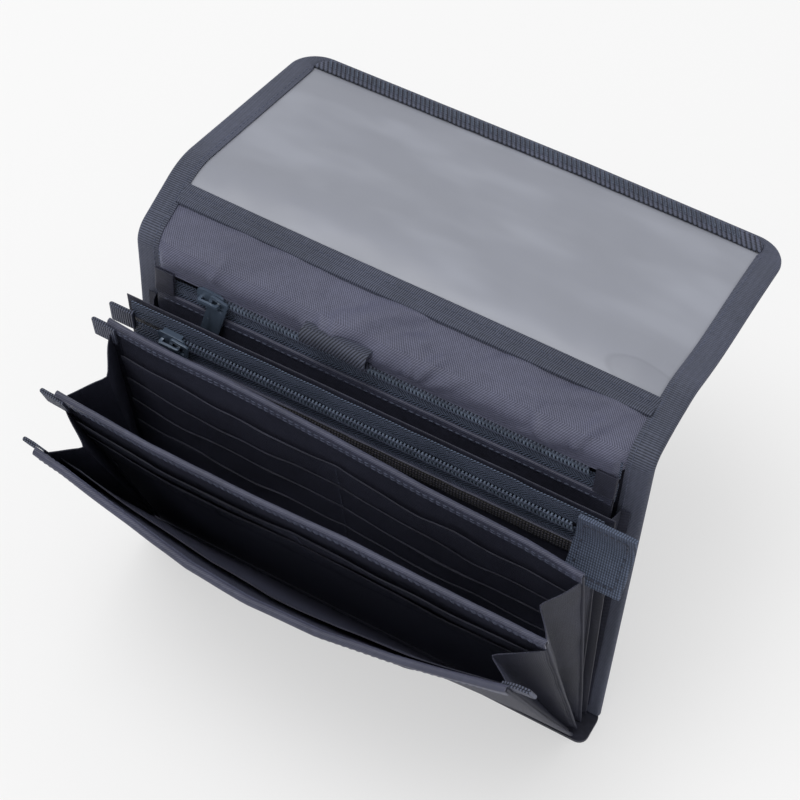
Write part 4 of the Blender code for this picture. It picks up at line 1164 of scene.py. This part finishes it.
class POUCH_OT_edge_tape(PouchOperator):
    """Make the ribbed tape round the back and the flap, with its stitches"""

    bl_idname = "pouch.edge_tape"
    bl_label = "Edge tape"

    def execute(self, context):
        width, pitch = sizes().tape_width, sizes().stitch_pitch
        inset = BODY_HALF - width * 0.80
        for side, word in ((-1, "left"), (1, "right")):
            ups = np.concatenate([np.linspace(0.0003 - BACK_HEIGHT, -0.012, 46),
                                  np.linspace(-0.0110, TAPE_SPLIT, 28)])
            path = [(side * BODY_HALF, up, -side, 0) for up in ups]
            sections = [edge_section(width + 0.0002 * noise.noise(Vector((up * 80, side, 0))), tape_ahead(up))
                        for up in ups]
            tape = band(f"edge_tape_{word}", edge_stations(path), sections, TAPE)
            dress(tape, "edge_tape")
            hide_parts(f"back_binding_{word}", f"spine_binding_{word}")
            bend_over(tape, "back")
            spots = stitch_line(side * inset, 0.002 - BACK_HEIGHT, side * inset, TAPE_SPLIT, on_tape, pitch)
            bend_over(stitches(f"edge_stitches_{word}", FLAP, spots), "back")

        path, end_width = lid_edge(), 0.0032
        sections = [edge_section(width + (end_width - width) * abs(way_up) ** 3, tape_ahead(up))
                    for _, up, _, way_up in path]
        tape = band("edge_tape_lid", edge_stations(path), sections, TAPE)
        dress(tape, "edge_tape")
        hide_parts("lid_binding")
        bend_over(tape, "lid")
        spots = [stitch_line(side * inset, TAPE_SPLIT + 0.001, side * inset, FLAP_END - 0.012, on_tape, pitch)
                 for side in (-1, 1)]
        bend_over(stitches("edge_stitches_lid", FLAP, np.concatenate(spots)), "lid")
        return {"FINISHED"}


class POUCH_OT_window(PouchOperator):
    """Make the vinyl window, the webbing at its mouth and the hook strip along the lid's edge"""

    bl_idname = "pouch.window"
    bl_label = "Window and hooks"

    def execute(self, context):
        half = BODY_HALF - 0.0090
        low, high = 0.0195, FLAP_END - 0.0088

        def lift(x, up):
            fade = np.clip((up - low) / 0.012, 0, 1) * np.clip((high - up) / 0.012, 0, 1)
            fade = fade * np.clip((half - 0.002 - np.abs(x)) / 0.01, 0, 1)
            return 0.00135 + fade * (0.0006 + ripple(x * 0.6, up, 0.0016, 0.030, 11.0)
                                     + ripple(x, up, 0.0005, 0.011, 3.0))

        vinyl = sheet("vinyl_window", FLAP, (-half, half), (low, high), 0.0003, lift, (110, 60))
        dress(vinyl, "frosted_vinyl_painted_reflection")
        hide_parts("spine_window", "lid_window")
        bend_over(vinyl, "lid")
        self.web_the_mouth()
        self.hook_the_edge()
        return {"FINISHED"}

    @staticmethod
    def web_the_mouth():
        """The webbing that binds the window's mouth, with its rolled lower edge. It bows down a little."""
        clear, middle, deepest_bow = BODY_HALF - sizes().tape_width + 0.0012, 0.0190, 0.0009
        section = np.array([(0.0232, 0.0018), (0.0223, 0.0021), (0.0205, 0.0021), (middle, 0.0021),
                            (0.0181, 0.0023), (0.0172, 0.0029), (0.0161, 0.0031), (0.0151, 0.0027),
                            (0.0148, 0.0019), (0.0153, 0.0012), (0.0164, 0.0010)])

        def bow(x):
            return deepest_bow * (1 - (x / clear) ** 2)

        stations, sections = [], []
        for x in np.linspace(-clear, clear, 120):
            up = middle - bow(x)
            origin = FLAP.at(x, up)
            stations.append((origin, unit(FLAP.at(x, up + 0.001) - origin),
                             unit(FLAP.at(x, up, 0.001) - origin), x))
            sections.append(section - (middle, -0.00012 * noise.noise(Vector((x * 70, 0, 0)))))
        webbing = band("mouth_webbing", stations, sections, 0.0006)
        dress(webbing, "mouth_webbing")
        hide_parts("window_mouth_webbing")
        spots = stitch_line(-clear + 0.002, 0.0204, clear - 0.002, 0.0204, 0.00245, sizes().stitch_pitch)
        spots[:, 1] -= bow(spots[:, 0])
        for thing in (webbing, stitches("webbing_stitches", FLAP, spots)):
            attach(thing, "spine")

    @staticmethod
    def hook_the_edge():
        """The hook strip along the lid's edge, with rows of hooks."""
        lower, upper = FLAP_END - 0.0100, FLAP_END - 0.0022
        reach = BODY_HALF - sizes().tape_width + 0.0009
        strip = sheet("hook_tape", FLAP, (-reach, reach), (lower, upper), 0.0007, 0.0024, (120, 12),
                      outline=rounded_end(reach, upper, upper - lower - 0.0012),
                      wave=lambda x, up: ripple(x, up, 0.0003, 0.004, 2.0))
        dress(strip, "hook_tape")
        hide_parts("hook_strip")
        path = np.array([(0, 0, -0.0001), (0, 0.00005, 0.0005), (0.0002, 0.0002, 0.0009),
                         (0.0005, 0.0003, 0.0010), (0.0007, 0.0003, 0.0007)])
        hook = tube_form(path, (0.00016, 0.00015, 0.00014, 0.00012, 0.00007), 4)
        margin, pitch, spots = 0.006, 0.0020, []
        for row in range(7):
            up = lower + 0.0022 + row * 0.00072
            for number in range(int(2 * (reach - margin) / pitch)):
                x = -reach + margin + number * pitch - row * 0.00040
                spots.append((x, up, 0.00275, 0.3 * math.sin(number * 2.3 + row)))
        hooks = dress(scattered("hooks", FLAP, hook, spots), "zip_coil")
        for thing in (strip, hooks):
            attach(thing, "lid")


class POUCH_OT_pen_loop(PouchOperator):
    """Make the ribbed elastic loop for a pen"""

    bl_idname = "pouch.pen_loop"
    bl_label = "Pen loop"

    def execute(self, context):
        low, high = BACK.extent("pen_loop")
        thickness, radius = 0.0009, 0.0026
        ahead_low, ahead_high = low[2] + 0.0009, high[2] - thickness / 2
        up_low, up_high = low[1] + thickness / 2, high[1] - thickness / 2
        line = []
        for ahead, up, first in ((ahead_high - radius, up_high - radius, 90),
                                 (ahead_high - radius, up_low + radius, 0),
                                 (ahead_low + radius, up_low + radius, -90),
                                 (ahead_low + radius, up_high - radius, -180)):
            for step in range(6):
                angle = math.radians(first - 18 * step)
                line.append((up + radius * math.sin(angle), ahead + radius * math.cos(angle)))
        line = np.array(line)
        line = np.concatenate([line, line[:1] + (0.0, 0.0002)])
        middle = line.mean(0)
        up_way, ahead_way = BACK.directions()
        stations, sections = [], []
        for x in np.linspace(low[0], high[0], 26):
            share = (x - low[0]) / (high[0] - low[0])
            pinch = 1 - 0.10 * math.sin(math.pi * share) + 0.04 * share
            stations.append((BACK.at(x, 0, 0), np.array(up_way), np.array(ahead_way), x))
            shape = middle + (line - middle) * (1.0 / (0.96 + 0.04 * pinch), pinch)
            shape[:, 1] += line[:, 1].min() - shape[:, 1].min()
            sections.append(shape)
        loop = band("elastic_loop", stations, sections, thickness)
        dress(loop, "loop_elastic")
        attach(loop, "back")
        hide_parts("pen_loop")
        return {"FINISHED"}


def zip_tapes(prefix, leaf, ends, up, ahead):
    """A zip's two woven tapes. The front one slopes forward below the coil."""
    for word, low, high in (("upper", ZIP_TAPE_INNER, ZIP_TAPE_OUTER),
                            ("lower", -ZIP_TAPE_OUTER, -ZIP_TAPE_INNER)):
        tape = sheet(f"{prefix}_{word}_tape", leaf, ends, (up + low, up + high), TAPE,
                     lambda x, u: ahead + swell(leaf, u), (110, 14),
                     wave=lambda x, u: ripple(x, u, 0.0004, 0.012, 4.0))
        dress(tape, "zip_tape")
        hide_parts(f"{prefix}_zip_{word}_tape")
        carry(tape, leaf)


def zip_parts(prefix, leaf):
    """The tapes, the coil, the slider and the pull of one zip. Gives the coil's height on its leaf."""
    low, high = leaf.extent(f"{prefix}_zip_chain")
    tape_low, tape_high = leaf.extent(f"{prefix}_zip_upper_tape")
    up, ahead = (low[1] + high[1]) / 2, (tape_low[2] + tape_high[2]) / 2
    zip_tapes(prefix, leaf, (tape_low[0], tape_high[0]), up, ahead)
    turns, held = coil(f"{prefix}_coil", leaf, low[0], high[0], up, ahead, sizes().coil_pitch)
    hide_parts(f"{prefix}_zip_chain")
    carry(turns, leaf)
    carry(held, leaf)
    slider = copied_part(f"{prefix}_slider_body", f"{prefix}_zip_slider", 0.00018)
    pull = copied_part(f"{prefix}_pull_plate", f"{prefix}_zip_pull", 0.00022)
    for thing, body in ((slider, f"{prefix}_slider"), (pull, f"{prefix}_pull")):
        dress(thing, "zip_metal")
        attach(thing, body)
    return up


def pocket_wall(name, leaf, node):
    """A zip pocket's front wall with a hem at its top."""
    low, high = leaf.extent(node)
    top = high[1] - 0.0012

    def depth(x, up):
        share = (up - low[1]) / (high[1] - low[1])
        flat = low[2] + WALL / 2 + (high[2] - low[2] - WALL) * share
        return flat + swell(leaf, up) + 0.0002

    cloth = sheet(name, leaf, (low[0], high[0]), (low[1], top), WALL, depth, (90, 40),
                  wave=lambda x, up: ripple(x, up, 0.0008, 0.03, 6.0) * np.clip(up / 0.05, 0, 1)
                  * np.clip((top - up) / 0.02, 0, 1))
    dress(cloth, "navy_cloth")
    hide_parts(node)
    top_depth = float(depth(0, np.float64(top)))
    edge = hem(f"{name}_hem", leaf, (low[0] + 0.0006, high[0] - 0.0006), top + 0.0001, 0.00055, 0.0028,
               top_depth)
    dress(edge, "hem_cloth_painted_highlight")
    spots = stitch_line(low[0] + 0.003, top - 0.0019, high[0] - 0.003, top - 0.0019, top_depth + 0.00085,
                        sizes().stitch_pitch)
    for thing in (cloth, edge, stitches(f"{name}_stitches", leaf, spots)):
        carry(thing, leaf)


class POUCH_OT_rear_zip_pocket(PouchOperator):
    """Make the zip pocket on the back and its card slots"""

    bl_idname = "pouch.rear_zip_pocket"
    bl_label = "Rear zip pocket"

    def execute(self, context):
        up = zip_parts("rear", BACK)
        pocket_wall("rear_wall_cloth", BACK, "rear_pocket_wall")
        slot_strip("rear_slot_strip", BACK, "rear_card_slots", 0.0, 0.0012, 3.0)
        for side, word in ((-1, "left"), (1, "right")):
            low, high = BACK.extent(f"rear_zip_{word}_stay")
            inner, outer = sorted((abs(low[0]), abs(high[0])))
            stay = ribbon_loop(f"rear_stay_{word}", BACK, side, inner, outer - 0.0004,
                               (up - 0.0062, up + 0.0040), (low[2] + high[2]) / 2 + 0.0004, 0.0009, TAPE,
                               lean=lambda u: float(swell(BACK, np.float64(u))))
            dress(stay, "navy_cloth")
            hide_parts(f"rear_zip_{word}_stay")
            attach(stay, "back")
        return {"FINISHED"}


class POUCH_OT_centre_zip_pocket(PouchOperator):
    """Make the centre zip pocket, its mesh band, its end tab and its ribbon tab"""

    bl_idname = "pouch.centre_zip_pocket"
    bl_label = "Centre zip pocket"

    def execute(self, context):
        up = zip_parts("centre", CENTRE)
        low, high = CENTRE.extent("centre_rear_wall")
        start = CLOTH_START["centre"]
        rear = sheet("centre_rear_cloth", CENTRE, (low[0], high[0]), (start, high[1]), WALL,
                     (low[2] + high[2]) / 2, (70, 36),
                     wave=lambda x, u: -np.abs(ripple(x, u, 0.0005, 0.04, 9.0)) * np.clip(u / 0.05, 0, 1))
        dress(rear, "navy_cloth")
        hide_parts("centre_rear_wall")
        carry(rear, CENTRE)
        pocket_wall("centre_front_cloth", CENTRE, "centre_front_wall")
        low, high = CENTRE.extent("centre_mesh_band")
        mesh = sheet("brown_mesh_band", CENTRE, (low[0], high[0]), (low[1], high[1]), TAPE,
                     lambda x, u: (low[2] + high[2]) / 2 + 0.0002 + swell(CENTRE, u), (120, 12),
                     wave=lambda x, u: ripple(x, u, 0.0003, 0.01, 1.0))
        dress(mesh, "brown_mesh")
        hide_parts("centre_mesh_band")
        carry(mesh, CENTRE)
        self.tab_the_end(up)
        side_tab("centre_tab", CENTRE, "centre_left_tab", -1)
        return {"FINISHED"}

    @staticmethod
    def tab_the_end(zip_up):
        """The webbing tab over the zip's right end, sewn round its rim. Its free end droops."""
        low, high = CENTRE.extent("centre_zip_end_tab")
        middle, drop, inset = (low[2] + high[2]) / 2, 0.0014, 0.0026

        def lean(up):
            return 0.62 * np.clip(zip_up + 0.003 - up, 0, 1)

        def reach(x):
            return np.clip((x - low[0]) / (high[0] - low[0]), 0, 1)

        def face(x, up):
            return middle + 0.0017 - 0.6 * drop * reach(x) ** 2 + lean(up)

        tab = ribbon_loop("end_tab", CENTRE, 1, low[0], high[0] - 0.0006, (low[1], high[1]), middle + 0.0006,
                          0.0010, 0.0009, drop, lean)
        dress(tab, "tab_webbing")
        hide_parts("centre_zip_end_tab")
        left, right, lower, upper = low[0] + inset, high[0] - inset, low[1] + inset, high[1] - inset
        corners = ((left, lower), (right, lower), (right, upper), (left, upper), (left, lower))
        spots = np.concatenate([stitch_line(*start, *end, face, SEAM_PITCH)
                                for start, end in zip(corners, corners[1:])])
        spots[:, 1] -= drop * reach(spots[:, 0]) ** 2
        sewn = stitches("end_tab_stitches", CENTRE, spots, stitch_form(0.0017, 0.00030),
                        "dark_thread")
        for thing in (tab, sewn):
            press(thing, CENTRE)


def side_tab(name, leaf, node, side):
    """A ribbed ribbon tab past a leaf's upper corner."""
    low, high = leaf.extent(node)
    inner, outer = sorted((abs(low[0]), abs(high[0])))
    tab = ribbon_loop(name, leaf, side, inner, outer - 0.0009, (low[1], high[1]), (low[2] + high[2]) / 2,
                      0.0010, 0.0008, 0.0008)
    dress(tab, "ribbon")
    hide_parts(node)
    carry(tab, leaf)


def hem_stitches(name, leaf, start, end, top, drops, face):
    """Rows of stitches below a leaf's top, on both faces of its hem."""
    rows = [stitch_line(start + 0.002, top - drop, end - 0.002, top - drop, ahead, sizes().stitch_pitch)
            for drop in drops for ahead in (face, -face)]
    return stitches(name, leaf, np.concatenate(rows))


def divider(prefix, leaf):
    """A divider: its cloth-covered board with a hem, its strips of card slots and its tab."""
    low, high = leaf.extent(f"{prefix}_divider_board")
    start, top = CLOTH_START[leaf.name], high[1]
    cloth = sheet(f"{prefix}_board_cloth", leaf, (low[0], high[0]), (start, top), DIVIDER, 0.0, (90, 36),
                  wave=lambda x, up: ripple(x, up, 0.0005, 0.04, 12.0) * np.clip(up / 0.05, 0, 1))
    dress(cloth, "board_cloth")
    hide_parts(f"{prefix}_divider_board")
    edge = hem(f"{prefix}_hem", leaf, (low[0] + 0.0004, high[0] - 0.0004), top, 0.00095, sizes().hem)
    dress(edge, "hem_cloth_painted_highlight")
    sewn = hem_stitches(f"{prefix}_hem_stitches", leaf, low[0], high[0], top, (0.0017, 0.0034), 0.00125)
    for thing in (cloth, edge, sewn):
        carry(thing, leaf)
    nodes = sorted(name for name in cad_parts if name.startswith(f"{prefix}_slots_"))
    for number, node in enumerate(nodes):
        slot_strip(f"{prefix}_strip_{number + 1}", leaf, node, 0.0002, 0.0020,
                   1.0 + number)
    side_tab(f"{prefix}_tab", leaf, f"{prefix}_left_tab", -1)


class POUCH_OT_dividers(PouchOperator):
    """Make the two dividers with their card slots and tabs"""

    bl_idname = "pouch.dividers"
    bl_label = "Dividers"

    def execute(self, context):
        divider("card", CARD)
        divider("note", NOTE)
        return {"FINISHED"}


class POUCH_OT_front(PouchOperator):
    """Make the front, its slip pocket, its loop strip and its tabs"""

    bl_idname = "pouch.front"
    bl_label = "Front"

    def execute(self, context):
        low, high = FRONT.extent("front_panel")
        start, top = CLOTH_START["front"], high[1]
        cloth = sheet("front_cloth", FRONT, (low[0], high[0]), (start, top), FRONT_BOARD, 0.0, (90, 44),
                      wave=lambda x, up: ripple(x, up, 0.0007, 0.04, 15.0) * np.clip(up / 0.05, 0, 1))
        dress(cloth, "board_cloth")
        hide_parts("front_panel")
        edge = hem("front_hem", FRONT, (low[0] + 0.0004, high[0] - 0.0004), top, 0.0012, sizes().hem)
        dress(edge, "hem_cloth_painted_highlight")
        sewn = hem_stitches("front_hem_stitches", FRONT, low[0], high[0], top, (0.0026,), 0.00138)
        for thing in (cloth, edge, sewn, self.slip_pocket(), *self.loop_strip()):
            carry(thing, FRONT)
        side_tab("front_tab_left", FRONT, "front_left_tab", -1)
        side_tab("front_tab_right", FRONT, "front_right_tab", 1)
        return {"FINISHED"}

    @staticmethod
    def slip_pocket():
        """The open pocket inside the front. Its top edge dips in the middle."""
        low, high = FRONT.extent("front_slip_pocket")

        def dip(x):
            return -0.006 * np.sin(math.pi * (x - low[0]) / (high[0] - low[0])) ** 2

        def ahead(x, up):
            loose = 0.0010 * np.clip((up - 0.05) / 0.07, 0, 1) ** 2
            return low[2] - 0.0003 - loose + ripple(x, up, 0.0008, 0.03, 21.0) * np.clip(up / 0.05, 0, 1)

        slip = sheet("slip_pocket_cloth", FRONT, (low[0], high[0]), (low[1], high[1]), TAPE, ahead, (90, 40),
                     top=dip)
        dress(slip, "navy_cloth")
        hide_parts("front_slip_pocket")
        return slip

    @staticmethod
    def loop_strip():
        """The loop strip outside the front, and the small loops of its pile."""
        low, high = FRONT.extent("loop_strip")
        strip = sheet("loop_tape", FRONT, (low[0], high[0]), (low[1], high[1]), 0.0010,
                      (low[2] + high[2]) / 2, (60, 14), wave=lambda x, up: ripple(x, up, 0.0006, 0.002, 2.0))
        dress(strip, "loop_pile")
        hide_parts("loop_strip")
        loops, spots = 2600, []
        for number in range(loops):
            x = low[0] + 0.002 + (high[0] - low[0] - 0.004) * ((number * 0.61803) % 1)
            up = low[1] + 0.0015 + (high[1] - low[1] - 0.003) * ((number * 0.75488) % 1)
            spots.append((x, up, high[2] - 0.0001, number * 2.39996))
        angles = np.linspace(0, math.pi, 5)
        path = np.stack([0.00045 * np.cos(angles), 0.0001 * np.sin(angles), 0.0007 * np.sin(angles)], -1)
        arch = tube_form(path, 0.00006, 3, caps=False)
        return strip, dress(scattered("loop_pile", FRONT, arch, spots), "loop_pile")


# Each bay: its name, the joint that closes it, its two leaves, the gusset's x on each, how far ahead of
# the rear leaf's middle and of the front leaf's it is sewn, its top, and how deep it folds in there
BAYS = (("rear", "centre_fan", BACK, CENTRE, 0.0968, 0.0985, 0.0022, -0.0013, 0.128, 0.0026),
        ("centre", "card_fan", CENTRE, CARD, 0.0960, 0.0990, 0.0030, -0.0007, 0.121, 0.0085),
        ("card", "note_fan", CARD, NOTE, 0.0988, 0.0988, 0.0008, -0.0007, 0.1325, 0.0090),
        ("note", "front_fan", NOTE, FRONT, 0.0988, 0.0985, 0.0008, -0.0010, 0.1290, 0.0140))
# Where every gusset starts, how wide it is sewn on, how deep it folds in at its foot, and how far its
# crest dips at its top
GUSSET_FOOT, GUSSET_FLANGE, GUSSET_FOLD, GUSSET_DIP = 0.006, 0.0035, 0.0025, 0.0025


def gusset_points(bay, side, ups):
    """A gusset's middle surface, a row for each height: a flange, the folded cloth, and a flange."""
    word, _, rear, front, rear_x, front_x, rear_ahead, front_ahead, top, deepest = bay
    rows = []
    for up in ups:
        share = (up - GUSSET_FOOT) / (top - GUSSET_FOOT)
        depth = rear_ahead * (0.3 + 0.7 * share) + float(swell(rear, up)) if rear is CENTRE else rear_ahead
        first = rear.at(side * rear_x, up, depth)
        last = front.at(side * front_x, up, front_ahead)
        gap = np.linalg.norm(last - first)
        fold = min(GUSSET_FOLD + (deepest - GUSSET_FOLD) * share ** 0.7, GUSSET_FOLD + 0.7 * gap)
        row = [rear.at(side * (rear_x + (GUSSET_FLANGE if rear is BACK else -GUSSET_FLANGE)), up, depth)]
        for step in np.linspace(0, 1, 17):
            tent = 1 - math.sqrt((2 * step - 1) ** 2 + 0.006)
            point = first * (1 - step) + last * step
            bulge = abs(math.sin(2 * math.pi * step)) * 0.02 * gap
            point = point + np.array((-side * (fold * tent - bulge), 0, 0))
            point[2] -= GUSSET_DIP * share ** 3 * tent
            point[0] += side * 0.0006 * noise.noise(Vector((step * 3, up * 60, side + len(word))))
            row.append(point)
        row.append(front.at(side * (front_x - GUSSET_FLANGE), up, front_ahead))
        rows.append(row)
    return np.array(rows)


class POUCH_OT_gussets(PouchOperator):
    """Make the folded cloth at both sides of each bay"""

    bl_idname = "pouch.gussets"
    bl_label = "Gussets"

    def execute(self, context):
        thickness = sizes().cloth
        for bay in BAYS:
            word, joint, rear, front, _, _, rear_ahead, front_ahead, top, _ = bay
            for side, hand in ((-1, "left"), (1, "right")):
                ups = lines(GUSSET_FOOT, top, 30, thickness)
                points = gusset_points(bay, side, ups)
                normals = np.cross(np.gradient(points, axis=0), np.gradient(points, axis=1))
                normals /= np.maximum(np.linalg.norm(normals, axis=2, keepdims=True), 1e-12)
                near, far = points + normals * thickness / 2, points - normals * thickness / 2
                uv = np.stack(np.meshgrid(ups, run_lengths(points[-3]), indexing="ij"), -1)
                crest = points.shape[1] // 2
                for leaf, part, run, plane in ((rear, "rear", slice(0, crest + 1), min(rear_ahead, 0.0020)),
                                               (front, "front", slice(crest, None), front_ahead)):
                    gusset = shell(f"{word}_pleat_{hand}_{part}", near[:, run], far[:, run], uv[:, run])
                    dress(gusset, "gusset_weave")
                    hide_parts(f"{word}_gusset_{hand}")
                    press(gusset, leaf)
        return {"FINISHED"}


class POUCH_OT_stage(PouchOperator):
    """Make the floor, the lamp, the world and the camera"""

    bl_idname = "pouch.stage"
    bl_label = "Stage"

    def execute(self, context):
        scene = context.scene
        bpy.ops.mesh.primitive_plane_add(size=6, location=(0, 0, -0.0002))
        floor = context.object
        floor.name = "floor"
        floor.data.materials.append(finish("pale_floor"))

        data = bpy.data.lights.new("key", "AREA")
        data.energy, data.size = LAMP_WATTS, LAMP_SIZE
        lamp = bpy.data.objects.new("key", data)
        lamp.location = LAMP_PLACE
        towards = Vector(LAMP_TARGET) - Vector(LAMP_PLACE)
        lamp.rotation_euler = towards.to_track_quat("-Z", "Y").to_euler()
        scene.collection.objects.link(lamp)

        world = bpy.data.worlds.new("studio")
        scene.world = world
        world.use_nodes = True
        sky = world.node_tree.nodes["Background"]
        sky.inputs["Color"].default_value = (1, 1, 1, 1)
        sky.inputs["Strength"].default_value = SKY_STRENGTH

        azimuth, elevation = math.radians(CAMERA_AZIMUTH), math.radians(CAMERA_ELEVATION)
        away = Vector((math.sin(azimuth) * math.cos(elevation), -math.cos(azimuth) * math.cos(elevation),
                       math.sin(elevation)))
        across = Vector((math.cos(azimuth), math.sin(azimuth), 0))
        upward = away.cross(across)
        data = bpy.data.cameras.new("camera")
        data.sensor_width = SENSOR_MM
        data.lens = FOCAL_PIXELS * SENSOR_MM / PICTURE_PIXELS
        camera = bpy.data.objects.new("camera", data)
        scene.collection.objects.link(camera)
        turned = Matrix((across, upward, away)).transposed().to_4x4()
        camera.matrix_world = Matrix.Translation(Vector(CAMERA_TARGET) + away * CAMERA_DISTANCE) @ turned
        scene.camera = camera
        scene.view_settings.view_transform = "Standard"
        return {"FINISHED"}


STEPS = (POUCH_OT_finishes, POUCH_OT_back, POUCH_OT_flap, POUCH_OT_edge_tape, POUCH_OT_window,
         POUCH_OT_pen_loop, POUCH_OT_rear_zip_pocket, POUCH_OT_centre_zip_pocket, POUCH_OT_dividers,
         POUCH_OT_front, POUCH_OT_gussets, POUCH_OT_stage)


class POUCH_PT_pieces(Panel):
    """The pouch's settings and the buttons that make its pieces"""

    bl_idname = "POUCH_PT_pieces"
    bl_label = "Stationery pouch"
    bl_space_type = "VIEW_3D"
    bl_region_type = "UI"
    bl_category = "Pouch"

    def draw(self, context):
        layout = self.layout
        for settings in (context.scene.pouch_sizes, context.scene.pouch_colours):
            box = layout.box()
            for name in settings.__annotations__:
                box.prop(settings, name)
        for step in STEPS:
            layout.operator(step.bl_idname)


CLASSES = (PouchSizes, PouchColours, *STEPS, POUCH_PT_pieces)


def register():
    for made in CLASSES:
        bpy.utils.register_class(made)
    bpy.types.Scene.pouch_sizes = PointerProperty(type=PouchSizes)
    bpy.types.Scene.pouch_colours = PointerProperty(type=PouchColours)


def unregister():
    del bpy.types.Scene.pouch_colours
    del bpy.types.Scene.pouch_sizes
    for made in reversed(CLASSES):
        bpy.utils.unregister_class(made)


def main():
    register()
    for step in STEPS:
        title, word = step.bl_idname.split(".")
        getattr(getattr(bpy.ops, title), word)()


if __name__ == "__main__":
    main()
